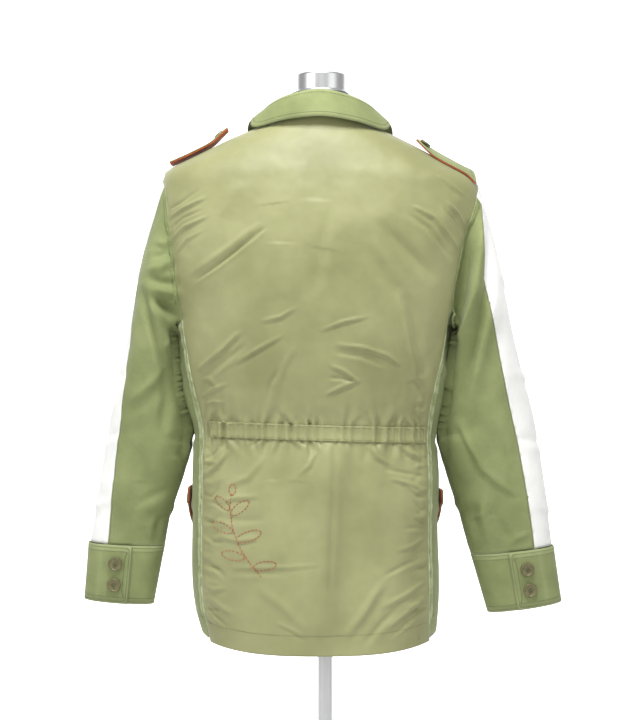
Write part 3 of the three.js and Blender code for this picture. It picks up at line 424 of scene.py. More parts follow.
LONGEST_EDGE, LONGEST_BACK_EDGE = 4.4 * MM, 3.0 * MM
sewn_mesh = smoothed(sewn, 2)
finer(sewn_mesh, LONGEST_EDGE)
finer(sewn_mesh, LONGEST_BACK_EDGE, SEWN.index("back_panel"))
print("smoothed:", len(sewn_mesh.polygons), "faces")

# %% [markdown]
# A crease is drawn on one side of the garment as a line through points a few centimetres apart. Every point
# of the cloth near it moves along its own normal: out for a ridge, in for a trough. The push fades out away
# from the line and towards its ends. The creases of the back were placed over the photograph, in its own
# small squares. The camera stands 2.3 m away, so a square is smaller where the cloth is nearer to it.

# %% Creases
VIEWS = {"back": (0, 2, 1, 1), "front": (0, 2, 1, -1), "left": (1, 2, 0, 1), "right": (1, 2, 0, -1)}
CAMERA_AT = 2300
CAMERA_HEIGHT = 895
SQUARE = 1.4
MIDDLE_COLUMN, MIDDLE_ROW = 322, 360


def spot(column, row, depth):
    """(x, z) in millimetres of a place on the photograph, for cloth that far behind the form's middle"""
    scale = SQUARE * (CAMERA_AT - depth) / CAMERA_AT
    return (MIDDLE_COLUMN - column) * scale + BODY_X / MM, CAMERA_HEIGHT - (row - MIDDLE_ROW) * scale


def places(mesh):
    co = np.empty(len(mesh.vertices) * 3)
    mesh.vertices.foreach_get("co", co)
    normal = np.empty(len(mesh.vertices) * 3)
    mesh.vertex_normals.foreach_get("vector", normal)
    return co.reshape(-1, 3), normal.reshape(-1, 3)


def reshape(mesh, co):
    mesh.vertices.foreach_set("co", co.ravel())
    mesh.update()


def crease_height(co, normal, view, points, width, height):
    """Height in metres at each place, for a line of points in millimetres as that side shows them"""
    across, up, deep, sign = VIEWS[view]
    facing = np.clip(sign * normal[:, deep] * 2.2, 0, 1)
    flat = co[:, (across, up)] / MM
    line = np.array(points, float)
    best = np.full(len(flat), 1e9)
    along, above = np.zeros(len(flat)), np.zeros(len(flat))
    lengths = np.linalg.norm(np.diff(line, axis=0), axis=1)
    done = 0.0
    for a, b, length in zip(line, line[1:], lengths):
        direction = (b - a) / length
        t = np.clip((flat - a) @ direction, 0, length)
        off = flat - a - t[:, None] * direction
        distance = np.linalg.norm(off, axis=1)
        nearer = distance < best
        beside = np.array((-direction[1], direction[0])) * (1 if direction[0] >= 0 else -1)
        above = np.where(nearer, off @ beside, above)
        best = np.where(nearer, distance, best)
        along = np.where(nearer, (done + t) / lengths.sum(), along)
        done += length
    taper = 0.25 + 0.75 * np.sin(np.clip(along, 0, 1) * math.pi) ** 0.7
    fold = np.exp(-(best / width) ** 2)
    beneath = np.exp(-((above + 1.8 * width) / (1.2 * width)) ** 2)
    under = beneath * np.exp(-((best - abs(above)) / width) ** 2)
    return facing * taper * (fold - 0.4 * under) * height * MM


# Each line: its points on the photograph, its width and its height, both in millimetres
BACK_CREASES = [
    ([(263, 229), (235, 251), (215, 266), (195, 279)], 3.5, -2.6),
    ([(259, 224), (231, 245), (210, 260), (190, 272)], 7, 1.6),
    ([(167, 214), (182, 205), (203, 196)], 4, 2.2),
    ([(166, 206), (178, 200), (196, 188)], 3, -1.6),
    ([(170, 236), (182, 225), (204, 216)], 4, 2.4),
    ([(168, 226), (180, 216), (199, 209)], 3, -1.8),
    ([(174, 250), (184, 238), (200, 230)], 3.5, 1.3),
    ([(416, 206), (436, 216), (459, 246)], 5, 2.6),
    ([(411, 214), (431, 228), (452, 256)], 6, -2.2),
    ([(449, 200), (459, 210), (469, 226)], 3.5, 2.4),
    ([(446, 206), (456, 217), (465, 231)], 3, -1.8),
    ([(441, 172), (453, 182), (467, 192)], 4, 1.6),
    ([(384, 225), (404, 246), (432, 276)], 13, -3.4),
    ([(372, 240), (392, 268), (414, 300)], 15, 2.6),
    ([(398, 296), (409, 343), (417, 376), (433, 394)], 6, 3.0),
    ([(408, 296), (420, 343), (428, 372)], 8, -2.2),
    ([(197, 369), (221, 350), (238, 333)], 5, 2.8),
    ([(199, 380), (222, 362), (244, 346)], 6, -1.8),
    ([(237, 362), (256, 350), (280, 337)], 4, 2.0),
    ([(263, 321), (280, 317), (294, 309)], 4, 1.7),
    ([(322, 330), (343, 322), (366, 317)], 3.5, 1.8),
    ([(338, 345), (364, 348), (388, 356), (400, 365)], 4, 2.4),
    ([(336, 352), (362, 356), (384, 365)], 5, -1.6),
    ([(331, 366), (344, 371), (358, 381)], 3.5, 2.3),
    ([(358, 381), (344, 386), (327, 394)], 4, 2.2),
    ([(330, 378), (342, 378), (352, 381)], 4, -1.6),
    ([(282, 366), (270, 384), (266, 402)], 5, -1.4),
    ([(292, 350), (280, 372), (276, 398)], 7, 1.2),
    ([(201, 396), (211, 390), (224, 385)], 3.5, 1.8),
    ([(203, 405), (212, 402), (222, 403)], 3, 1.6),
    ([(202, 477), (215, 468), (226, 452)], 5, 2.8),
    ([(202, 462), (212, 456), (221, 446)], 4, -1.6),
    ([(228, 486), (247, 478), (262, 460)], 7, 1.6),
    ([(371, 447), (378, 458), (392, 466)], 5, 2.2),
    ([(400, 446), (410, 454), (424, 462)], 4, 2.6),
    ([(393, 480), (408, 484), (425, 492)], 4, 2.0),
    ([(386, 470), (404, 474), (424, 478)], 4, -1.4),
    ([(204, 503), (214, 505), (224, 511)], 3.5, -1.4),
    ([(204, 519), (213, 522), (223, 522)], 3.5, 1.2),
    ([(204, 539), (211, 543), (221, 545)], 4, -1.6),
    ([(204, 566), (214, 570), (224, 578)], 4, -1.6),
    ([(203, 589), (213, 592), (224, 590)], 4, 1.6),
    ([(203, 608), (212, 617), (224, 626)], 4, -1.8),
    ([(207, 600), (219, 608), (232, 614)], 6, 1.5),
    ([(221, 502), (238, 498), (256, 497)], 5, 1.7),
    ([(220, 538), (238, 541), (257, 538)], 5, 1.8),
    ([(218, 520), (240, 521), (262, 520)], 7, -1.2),
    ([(232, 568), (258, 567), (288, 567), (318, 564)], 3.5, 1.3),
    ([(232, 574), (256, 573), (284, 573)], 5, -1.0),
    ([(262, 590), (284, 606), (304, 626)], 10, 1.8),
    ([(278, 622), (290, 627), (304, 634)], 4, 1.3),
    ([(345, 634), (361, 616), (372, 598), (382, 584)], 9, 2.8),
    ([(366, 640), (382, 622), (400, 606)], 7, -1.8),
    ([(384, 576), (402, 567), (422, 560)], 4.5, -1.6),
    ([(384, 606), (404, 597), (425, 585)], 4.5, 2.0),
    ([(388, 627), (407, 613), (426, 600)], 4.5, 2.0),
    ([(392, 635), (410, 622), (427, 611)], 4, -1.6),
    ([(398, 551), (412, 548), (425, 541)], 4, 1.4),
    ([(330, 442), (326, 480), (324, 530), (322, 600), (321, 636)], 30, 7.0),
    ([(336, 445), (333, 490), (331, 540), (328, 600)], 7, -1.2),
    ([(296, 450), (284, 480), (290, 540)], 16, -1.6),
    ([(316, 452), (309, 466), (300, 474)], 5, 1.5),
    ([(300, 160), (296, 200), (302, 244), (290, 300)], 26, 1.8),
    ([(330, 205), (322, 240), (316, 290)], 14, -1.6),
    ([(240, 180), (216, 214), (205, 260)], 22, 2.2),
]
SLEEVE_CREASES = [
    ([(149, 279), (163, 283), (178, 285)], 6, -5.0),
    ([(151, 270), (162, 269), (174, 262)], 5, 3.0),
    ([(153, 258), (162, 257), (170, 253)], 4, -2.2),
    ([(158, 243), (164, 245), (172, 242)], 4, 1.8),
    ([(157, 292), (166, 293), (176, 297)], 6, 3.2),
    ([(160, 301), (171, 310), (182, 320)], 7, -7.0),
    ([(144, 290), (153, 322), (162, 350), (168, 374)], 4.5, -4.5),
    ([(150, 288), (158, 316), (167, 346), (177, 383), (188, 420)], 7, 4.0),
    ([(168, 374), (168, 395), (163, 434)], 7, -4.0),
    ([(133, 400), (148, 388), (164, 371)], 5, 3.4),
    ([(134, 412), (150, 402), (165, 389)], 6, -1.8),
    ([(163, 351), (170, 339), (181, 328)], 4, 2.4),
    ([(139, 452), (140, 476), (144, 502)], 14, -2.6),
    ([(120, 452), (126, 480), (122, 520)], 10, 1.8),
    ([(181, 446), (180, 455), (183, 462)], 5, -2.4),
    ([(138, 505), (151, 497), (166, 489)], 6, -2.0),
    ([(153, 520), (149, 529), (150, 540)], 5, 1.8),
    ([(163, 516), (157, 524), (156, 538)], 4, -1.6),
    ([(136, 316), (139, 350), (133, 392)], 9, 1.8),
    ([(478, 205), (478, 250), (475, 290), (466, 330), (457, 370), (447, 408)], 7, 6.5),
    ([(470, 228), (465, 262), (459, 300), (452, 336), (448, 366)], 7, -13.0),
    ([(484, 286), (476, 326), (467, 362), (459, 396)], 7, -5.0),
    ([(492, 330), (489, 365), (480, 400)], 12, -2.4),
    ([(459, 424), (468, 442), (483, 469), (497, 482), (514, 493)], 4, 3.2),
    ([(470, 420), (489, 440), (502, 466)], 15, -3.4),
    ([(452, 436), (458, 462), (470, 484)], 12, 2.4),
    ([(487, 495), (483, 518), (490, 542)], 7, 2.4),
    ([(476, 502), (475, 518), (478, 536)], 6, -2.0),
    ([(500, 520), (504, 532), (514, 542)], 6, -1.6),
    ([(513, 543), (520, 538), (528, 535)], 4, 1.8),
    ([(501, 400), (504, 430), (508, 460)], 10, 1.6),
]
# The hidden front, in millimetres: drag lines from the armholes and over the pockets
FRONT_CREASES = [
    ([(180, 1080), (150, 1050), (120, 1035)], 6, 2.4), ([(-176, 1086), (-148, 1062), (-110, 1044)], 6, 2.2),
    ([(176, 1040), (150, 1014), (128, 990)], 7, -2.2), ([(-180, 1030), (-156, 1000), (-126, 984)], 7, -2.4),
    ([(60, 1120), (84, 1060), (92, 1000)], 12, 1.8), ([(-62, 1116), (-80, 1050), (-94, 990)], 12, 1.6),
    ([(150, 860), (110, 830), (70, 822)], 6, 2.4), ([(-154, 850), (-118, 824), (-66, 812)], 6, 2.2),
    ([(140, 800), (104, 778), (64, 780)], 5, -1.8), ([(-146, 792), (-100, 768), (-72, 770)], 5, -1.8),
    ([(40, 800), (52, 700), (44, 600)], 14, 2.4), ([(-44, 790), (-60, 690), (-46, 590)], 14, 2.2),
    ([(120, 640), (104, 590), (98, 540)], 10, 2.0), ([(-118, 650), (-108, 596), (-90, 540)], 10, 2.2),
    ([(230, 960), (252, 940), (270, 938)], 6, -3.4), ([(-232, 950), (-250, 926), (-268, 922)], 6, -3.0),
    ([(240, 900), (262, 876), (276, 840)], 7, 3.0), ([(-236, 892), (-262, 862), (-272, 826)], 7, 2.8),
    ([(262, 800), (280, 770), (304, 752)], 6, 2.4), ([(-256, 790), (-276, 760), (-300, 740)], 6, 2.4),
    ([(260, 742), (282, 722), (300, 690)], 7, -2.2), ([(-258, 730), (-280, 706), (-292, 670)], 7, -2.0),
]
# The sides, also in millimetres, with the side's name first
SIDE_CREASES = [
    ("left", [(-60, 900), (-10, 880), (40, 884)], 7, 2.4),
    ("right", [(-58, 890), (-14, 868), (38, 876)], 7, 2.4),
    ("left", [(-50, 800), (0, 786), (44, 796)], 6, -2.0),
    ("right", [(-52, 790), (2, 780), (46, 788)], 6, -2.0),
    ("left", [(-64, 1010), (-20, 1000), (30, 1016)], 9, 2.0),
    ("right", [(-60, 1004), (-16, 994), (34, 1008)], 9, 2.2),
    ("left", [(-40, 700), (4, 690), (30, 702)], 6, 1.8),
    ("right", [(-44, 694), (0, 684), (28, 694)], 6, 1.8),
]
# Nylon folds more sharply than the lists say, and the sleeves' cotton a little more deeply
BACK_DEPTH, BACK_WIDTHS, BACK_HEIGHTS = 115, 0.62, 1.35
SLEEVE_DEPTH, SLEEVE_HEIGHTS = 35, 1.3


def placed_creases(table, depth, widths, heights):
    return [("back", [spot(c, r, depth) for c, r in line], w * widths, h * heights) for line, w, h in table]


creases = placed_creases(BACK_CREASES, BACK_DEPTH, BACK_WIDTHS, BACK_HEIGHTS)
creases += placed_creases(SLEEVE_CREASES, SLEEVE_DEPTH, 1, SLEEVE_HEIGHTS)
creases += [("front", line, w, h) for line, w, h in FRONT_CREASES]
creases += SIDE_CREASES
print("placed by hand:", len(creases), "creases")

# %% [markdown]
# The drawcord gathers the waist: the cloth bunches into small upright puckers that die out above and below
# the casing. The side seams pull too, so short drag lines leave them all the way down. No two are alike, so
# their places and sizes come from random numbers with a fixed start.

# %% Gathers and drag lines
random = np.random.default_rng(7)
CASING_TOP, CASING_FOOT = 424.5, 441
puckers = []
column = 205.0
while column < 422:
    up, down = random.uniform(7, 26), random.uniform(7, 30)
    height, width = random.uniform(0.9, 5.0), random.uniform(2.0, 4.6)
    puckers.append((column, height, width, up, down, random.uniform(-11, 11)))
    column += random.uniform(5, 15)


def gathers(co, normal):
    facing = np.clip(normal[:, 1] * 2.2, 0, 1)
    x, z = co[:, 0] / MM, co[:, 2] / MM
    total = np.zeros(len(co))
    for column, height, width, up, down, lean in puckers:
        at, top = spot(column, CASING_TOP, BACK_DEPTH)
        foot = spot(column, CASING_FOOT, BACK_DEPTH)[1]
        above, below = np.clip(z - top, 0, None), np.clip(foot - z, 0, None)
        fade = np.exp(-(above / up) ** 1.5) * np.exp(-(below / down) ** 1.5)
        drift = lean * (above / up - below / down)
        spread = width * (1 + above / up + below / down)
        beside = (x - at - drift) / spread
        total += height * fade * (np.exp(-beside ** 2) - 0.4 * np.exp(-((abs(beside) - 1.9) / 0.9) ** 2))
    return total * facing * MM


for seam_column, inwards in ((202, 1), (427, -1)):
    row = 380.0
    while row < 628:
        if abs(row - 433) > 12:
            reach = random.uniform(8, 24) * inwards
            line = [(seam_column, row), (seam_column + reach * 0.5, row + random.uniform(-4, 3)),
                    (seam_column + reach, row + random.uniform(-7, 5))]
            creases.append(("back", [spot(c, r, BACK_DEPTH - 30) for c, r in line], random.uniform(2.4, 3.6),
                            random.uniform(-2.2, 2.2)))
        row += random.uniform(6, 13)
print("with drag lines:", len(creases), "creases and", len(puckers), "gathers")

# %% [markdown]
# Two corrections follow from the photograph. The sleeves lean on the body below the armpits, so their inner
# sides move until they are a millimetre clear of it. The right sleeve's white stripe shows wider than a
# straight panel would, so the seam beside it is moved, and faces change panel where it has passed them.

# %% Lean the sleeves and widen the stripe
def beside_body(mesh, co, normal):
    """Lets the sleeves lean on the body between the armpit and the waist, a millimetre clear of it"""
    first_sleeve = SEWN.index(SLEEVES[0])
    sleeve = np.zeros(len(co), bool)
    body_faces = []
    for polygon in mesh.polygons:
        if polygon.material_index >= first_sleeve:
            sleeve[list(polygon.vertices)] = True
        else:
            body_faces.append(tuple(polygon.vertices))
    body = BVHTree.FromPolygons([tuple(c) for c in co], body_faces)
    z = co[:, 2] / MM
    height = np.clip((z - 745) / 50, 0, 1) * np.clip((980 - z) / 30, 0, 1)
    outward = normal[:, 0] * np.sign(co[:, 0] - BODY_X)
    facing = np.clip(-outward * 1.8 - 0.3, 0, 1) * height * sleeve
    push = np.zeros(len(co))
    for i in np.nonzero(facing > 0.02)[0]:
        distance = body.ray_cast(Vector(co[i]), Vector(normal[i]), 14 * MM)[3]
        if distance is not None:
            push[i] = max(0, distance - 1 * MM) * facing[i]
    return push


def pressed(mesh, sewn_panels=False):
    co, normal = places(mesh)
    total = gathers(co, normal)
    if sewn_panels:
        total += beside_body(mesh, co, normal)
    for crease in creases:
        total += crease_height(co, normal, *crease)
    reshape(mesh, co + normal * total[:, None])


# Where the right sleeve's white stripe begins on the photograph, as places on its own squares
STRIPE_EDGE = [(480, 193), (481, 208), (482, 232), (482, 256), (481, 279), (485, 295), (492, 326), (499, 361),
               (506, 394), (511, 416), (517, 440), (525, 480), (532, 520), (536, 548)]


def widen_stripe(mesh):
    """Moves the seam of the right sleeve's stripe to its place on the photograph"""
    back, stripe = SEWN.index("sleeve_right_back"), SEWN.index("sleeve_right_stripe")
    edge = np.array([spot(c, r, SLEEVE_DEPTH) for c, r in STRIPE_EDGE[::-1]]) * MM
    bm = bmesh.new()
    bm.from_mesh(mesh)
    bm.normal_update()

    def past(p):
        return p.x - float(np.interp(p.z, edge[:, 1], edge[:, 0]))

    def on_sleeve(v):
        return all(f.material_index in (back, stripe) for f in v.link_faces) and v.normal.y > 0.1
    low, high = edge[0, 1], edge[-1, 1]
    for v in bm.verts:
        if low < v.co.z < high and on_sleeve(v) and abs(past(v.co)) < 1.3 * MM:
            v.co.x -= past(v.co)
    for face in bm.faces:
        middle = face.calc_center_median()
        if face.material_index == back and low < middle.z < high and face.normal.y > -0.1:
            if past(middle) < 0:
                face.material_index = stripe
    bm.to_mesh(mesh)
    bm.free()


pressed(sewn_mesh, True)
widen_stripe(sewn_mesh)
print("pressed and widened:", len(sewn_mesh.polygons), "faces")

# %% [markdown]
# Real cloth has a thickness that shows along its edges. The visible side is copied, the copy moves in by the
# cloth's thickness and is turned over, and a rim closes the two sides. The back panel is the finest mesh, so
# to keep it light it has the turned-in rim alone and no second side.

# %% Give cloth its thickness
def thickened(bm, thickness, inside=True):
    bm.normal_update()
    rim = [(e.link_loops[0].vert, e.link_loops[0].link_loop_next.vert) for e in bm.edges if e.is_boundary]
    normals = [(v, v.normal.copy()) for v in bm.verts]
    if inside:
        twin = bmesh.ops.duplicate(bm, geom=bm.verts[:] + bm.edges[:] + bm.faces[:])
        inner = twin["vert_map"]
        bmesh.ops.reverse_faces(bm, faces=[f for f in twin["geom"] if isinstance(f, bmesh.types.BMFace)])
    else:
        normals = [(v, normal) for v, normal in normals if v.is_boundary]
        inner = {v: bm.verts.new(v.co) for v, normal in normals}
    for v, normal in normals:
        inner[v].co = v.co - normal * thickness
    for a, b in rim:
        bm.faces.new((b, a, inner[a], inner[b]))


def mark_wear(bm, reach=3.4 * MM):
    """Notes on each point how near it is to an edge, where washing and rubbing fade the dye"""
    layer = bm.verts.layers.float.new("wear")
    rim = [v.co for v in bm.verts if v.is_boundary]
    tree = KDTree(len(rim))
    for i, co in enumerate(rim):
        tree.insert(co, i)
    tree.balance()
    for v in bm.verts:
        v[layer] = math.exp(-(tree.find(v.co)[2] / reach) ** 2)


def new_piece(name, bm, material, smooth=True):
    mesh = bpy.data.meshes.new(name)
    bm.to_mesh(mesh)
    bm.free()
    for polygon in mesh.polygons:
        polygon.use_smooth = smooth
        polygon.material_index = 0
    mesh.materials.append(material)
    piece = bpy.data.objects.new(name, mesh)
    bpy.context.scene.collection.objects.link(piece)
    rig.ride(piece, "root")
    return piece


def panel_piece(mesh, number, name, thickness):
    bm = bmesh.new()
    bm.from_mesh(mesh)
    bmesh.ops.delete(bm, geom=[f for f in bm.faces if f.material_index != number], context="FACES")
    area = sum(f.calc_area() for f in bm.faces)
    mark_wear(bm)
    thickened(bm, thickness, name != "back_panel")
    piece = new_piece(name + "_cloth", bm, PANEL_CLOTH[name])
    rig.replaces(piece, name)
    return piece, area


THICKNESS = 1.2 * MM
areas, cloth, skins, with_cloth = {}, {}, {}, {}
for number, name in enumerate(SEWN):
    cloth[name], areas[name] = panel_piece(sewn_mesh, number, name, THICKNESS)
print({name: round(area, 4) for name, area in areas.items()})

# %% [markdown]
# The collar, cuffs, straps, pockets and flaps are separate pieces. Each goes through the same steps by
# itself. Some are then bent a little, where the photograph shows them otherwise than their walls.

# %% Single pieces
def single(node, looks_out, material, levels=2, press=True, shaped=None):
    mesh = smoothed(visible_side(node, looks_out), levels)
    if press:
        pressed(mesh)
    if shaped:
        shaped(mesh)
    skins[node] = mesh
    bm = bmesh.new()
    bm.from_mesh(mesh)
    areas[node] = sum(f.calc_area() for f in bm.faces)
    mark_wear(bm)
    thickened(bm, THICKNESS)
    cloth[node] = new_piece(node + "_cloth", bm, material)
    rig.replaces(cloth[node], node)


TIP = {"left": 0.11, "right": 0.2}
LOWER = {"left": 0.0, "right": 0.0022}
NECK_X = 0.006


def tip_of(side, y):
    """How far a strap is raised there, most at its front edge, so that the camera sees a strip of its top"""
    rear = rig.box("epaulette_" + side)[1].y
    return TIP[side] * (rear - y) - LOWER[side]


def tipping(side):
    def shape(mesh):
        co = places(mesh)[0]
        co[:, 2] += tip_of(side, co[:, 1])
        reshape(mesh, co)
    return shape


def lifted_edge(mesh):
    """The collar's outer edge stands off the back, which leaves the shade under it, and its tips bend out"""
    co = places(mesh)[0]
    reach = np.linalg.norm(co[:, :2] - np.array((NECK_X, 0.0)), axis=1) / MM
    behind = np.clip((co[:, 1] / MM - 62) / 25, 0, 1)
    share = np.clip((reach - 72) / 26, 0, 1)
    co[:, 2] += 0.0034 * share ** 1.5 * behind
    x, low = co[:, 0] / MM, np.clip((1236 - co[:, 2] / MM) / 20, 0, 1)
    over = low * np.exp(-((co[:, 1] / MM - 25) / 42) ** 2)
    left, right = np.clip((x - 70) / 25, 0, 1) * over, np.clip((-x - 60) / 25, 0, 1) * over
    co[:, 0] += 0.013 * left - 0.003 * right
    co[:, 2] -= 0.008 * left + 0.005 * right
    reshape(mesh, co)


def slimmer_neck(mesh):
    """The form's neck stands a little inside the collar"""
    co = places(mesh)[0]
    share = np.clip((co[:, 2] / MM - 1205) / 50, 0, 1)
    co[:, 0] = (co[:, 0] - NECK_X) * (1 - 0.17 * share) + NECK_X + 0.002 * share
    reshape(mesh, co)


def shorter_behind(mesh):
    """The flap's rear corner is cut shorter than its middle"""
    co = places(mesh)[0]
    top = co[:, 2].max()
    share = np.clip((co[:, 1] / MM + 62) / 40, 0, 1)
    co[:, 2] = top - (top - co[:, 2]) * (1 - 0.45 * share)
    reshape(mesh, co)


def away_downward(p):
    return Vector((0, 0, -1))


def to_axis(p):
    return Vector((BODY_X - p.x, -p.y, 0)).normalized()


single("waist_casing", from_axis(BODY_X), NYLON)
single("collar", away_upward, COTTON, shaped=lifted_edge)
single("front_placket", from_axis(BODY_X), COTTON)
for side in SIDES:
    strap, tipped = "epaulette_" + side, tipping(side)
    single("cuff_" + side, from_sleeve(side), COTTON)
    single(strap, away_upward, COTTON, press=False, shaped=tipped)
    single(strap + "_lining", away_downward, RUST, press=False, shaped=tipped)
    single("pocket_" + side, from_axis(BODY_X), COTTON, press=False)
single("form_torso", from_axis(BODY_X), JERSEY, 1, press=False, shaped=slimmer_neck)
for side in SIDES:
    flap = "pocket_flap_" + side
    single(flap, from_axis(BODY_X), COTTON, press=False, shaped=shorter_behind)
    single(flap + "_lining", to_axis, RUST, press=False, shaped=shorter_behind)
print("single pieces:", sorted(skins))

# %% [markdown]
# A sewing line follows an edge or a seam at an even distance. A row is a list of places on the cloth, each
# with the cloth's own outward direction, so it is found on the finished folds: the edge's points move
# sideways, and each one drops to the nearest place on the cloth.

# %% Rows along seams and edges
def tree_of(mesh):
    bm = bmesh.new()
    bm.from_mesh(mesh)
    tree = BVHTree.FromBMesh(bm)
    bm.free()
    return tree


def chains(edges, inner_faces):
    """The edges as lines of points, each with the direction into the faces on one side, longest line first"""
    links = {}
    for edge in edges:
        for v in edge.verts:
            links.setdefault(v, []).append(edge.other_vert(v))
    ends = [v for v in links if len(links[v]) == 1]
    lines, done = [], set()
    for start in ends + list(links):
        if start in done:
            continue
        line, here = [start], start
        done.add(start)
        while True:
            onward = [v for v in links[here] if v not in done]
            if not onward:
                break
            here = onward[0]
            done.add(here)
            line.append(here)
        closed = len(line) > 2 and line[0] in links[line[-1]] and start not in ends
        if closed:
            line.append(line[0])
        into = []
        for v in line:
            middles = [f.calc_center_median() - v.co for f in v.link_faces if f in inner_faces]
            total = sum(middles, Vector())
            into.append(total.normalized())
        lines.append((np.array([v.co for v in line]), np.array(into), closed))
    return sorted(lines, key=lambda l: -len(l[0]))


def even(points, into, closed, step, trim=0.0):
    """The same line with its points at even distances, after a little smoothing"""
    for turn in range(3):
        for array in (points, into):
            array[1:-1] = (array[:-2] + 2 * array[1:-1] + array[2:]) / 4
    lengths = np.concatenate(([0], np.cumsum(np.linalg.norm(np.diff(points, axis=0), axis=1))))
    count = max(3, round((lengths[-1] - 2 * trim) / step) + 1)
    at = np.linspace(trim, lengths[-1] - trim, count)
    out = np.stack([np.interp(at, lengths, points[:, k]) for k in range(3)], axis=1)
    inward = np.stack([np.interp(at, lengths, into[:, k]) for k in range(3)], axis=1)
    inward /= np.linalg.norm(inward, axis=1)[:, None] + 1e-12
    return out, inward


def dropped(tree, points):
    """Each point and the outward direction at the nearest place on the cloth"""
    found = [tree.find_nearest(Vector(p)) for p in points]
    return np.array([f[0] for f in found]), np.array([f[1] for f in found])


def seam(first, second):
    """The seam between two sewn panels, with directions into the first one"""
    bm = bmesh.new()
    bm.from_mesh(sewn_mesh)
    a, b = SEWN.index(first), SEWN.index(second)
    edges = [e for e in bm.edges if {f.material_index for f in e.link_faces} == {a, b}]
    longest = chains(edges, {f for f in bm.faces if f.material_index == a})[0]
    bm.free()
    return longest


def above(line, height):
    """The part of a line that lies over a height"""
    kept = line[0][:, 2] > height
    return line[0][kept], line[1][kept], False


def edges_of(mesh, wanted=lambda a, b: True):
    """The open edges of a surface, with directions into it"""
    bm = bmesh.new()
    bm.from_mesh(mesh)
    edges = [e for e in bm.edges if e.is_boundary and wanted(*[v.co for v in e.verts])]
    lines = [l for l in chains(edges, set(bm.faces)) if len(l[0]) > 4]
    bm.free()
    return lines


def row(tree, line, inset, step, trim=0.0):
    points, into = even(line[0].copy(), line[1].copy(), line[2], step, trim)
    return dropped(tree, points + into * inset)


SKIN = tree_of(sewn_mesh)
PITCH = 3.4 * MM
print("stitches every", round(PITCH / MM, 1), "mm")

# %% [markdown]
# Each stitch is a small rounded grain of thread lying along its row. There are seven or eight to the inch.
# Every stitch sinks a little where the needle went in, so the grains stay apart.

# %% Stitches
def grains(rows, length, thick):
    """One mesh of all the stitches of these rows"""
    whole = bmesh.new()
    for points, normals in rows:
        part = bmesh.new()
        for i in range(len(points) - 1):
            run = Vector(points[i + 1] - points[i])
            out = Vector(normals[i]).normalized()
            if run.length < 1e-6:
                continue
            run.normalize()
            side = out.cross(run)
            if side.length < 0.2:
                continue
            side.normalize()
            up = run.cross(side)
            middle = Vector(points[i] + points[i + 1]) / 2 + up * thick * 0.2
            turned = Matrix((run * length / 2, side * thick / 2, up * thick * 0.4)).transposed().to_4x4()
            turned.translation = middle
            bmesh.ops.create_icosphere(part, subdivisions=1, radius=1, matrix=turned)
        mesh = bpy.data.meshes.new("row")
        part.to_mesh(mesh)
        part.free()
        whole.from_mesh(mesh)
        bpy.data.meshes.remove(mesh)
    return whole


def sewn_rows(name, owner, rows, material=THREAD, length=2.5 * MM, thick=0.95 * MM):
    with_cloth.setdefault(owner, []).append(new_piece(name, grains(rows, length, thick), material))


# %% [markdown]
# The side seams and armholes are felled: the green cloth is folded over the seam and stitched down twice.
# That leaves a raised band, wider at the sides than at the armholes, which puckers between the stitches.

# %% Felled seams
def felled(name, owner, tree, line, width, material=FELLED, height=1.1):
    """A raised band beside a seam, and the two rows of stitches that hold it"""
    step = 2.2 * MM
    points, into = even(line[0].copy(), line[1].copy(), line[2], step, 1 * MM)
    across = [-0.5, 0, 0.9, 3.0, width / 2, width - 3.0, width - 0.9, width, width + 0.5]
    heights = [-0.4, 0.5, 1, 0.85, 1.05, 0.85, 1, 0.5, -0.4]
    marks = np.arange(0, len(points) + 3, 3)
    wave = np.interp(np.arange(len(points)), marks, random.uniform(-0.75, 0.75, len(marks)))
    bm = bmesh.new()
    grid = []
    for offset, share in zip(across, heights):
        ground, normals = dropped(tree, points + into * offset * MM)
        lift = np.full(len(points), share * height) + (wave if 0.5 < offset < width - 0.5 else 0)
        grid.append([bm.verts.new(p) for p in ground + normals * lift[:, None] * MM])
    for near, far in zip(grid, grid[1:]):
        for i in range(len(points) - 1):
            bm.faces.new((near[i], near[i + 1], far[i + 1], far[i]))
    bmesh.ops.recalc_face_normals(bm, faces=bm.faces)
    face = bm.faces[:][len(bm.faces) // 2]
    ground = tree.find_nearest(face.calc_center_median())
    if face.normal.dot(ground[1]) < 0:
        bmesh.ops.reverse_faces(bm, faces=bm.faces[:])
    band_tree = BVHTree.FromBMesh(bm)
    band = new_piece(name, bm, material)
    with_cloth.setdefault(owner, []).append(band)
    rows = []
    for offset in (1.9, width - 1.9):
        ground, normals = row(tree, line, offset * MM, PITCH, 3 * MM)
        on_band = dropped(band_tree, ground + normals * height * MM)[0]
        rows.append((on_band + normals * 0.12 * MM, normals))
    return rows


BAND, ARMHOLE_BAND, ARMPIT = 12.5, 7.5, 0.962
NEAR_ROW, FAR_ROW = 2.2 * MM, 8.4 * MM
body_rows, sleeve_rows = [], {side: [] for side in SIDES}
for side in SIDES:
    front = "front_" + side
    body_rows += felled("side_seam_" + side, front, SKIN, seam(front, "back_panel"), BAND)
    back_sleeve = "sleeve_" + side + "_back"
    front_sleeve = "sleeve_" + side + "_front"
    for place, sleeve, body in (("back_", back_sleeve, "back_panel"), ("front_", front_sleeve, front)):
        sleeve_rows[side] += felled("armhole_seam_" + place + side, sleeve, SKIN,
                                    above(seam(sleeve, body), ARMPIT), ARMHOLE_BAND, COTTON)
    stripe = "sleeve_" + side + "_stripe"
    for panel in (back_sleeve, front_sleeve):
        sleeve_rows[side].append(row(SKIN, seam(panel, stripe), NEAR_ROW, PITCH, 4 * MM))
    under = seam(back_sleeve, front_sleeve)
    for inset in (NEAR_ROW, FAR_ROW):
        sleeve_rows[side].append(row(SKIN, under, inset, PITCH, 4 * MM))
print("felled seams:", {k: len(v) for k, v in with_cloth.items()})

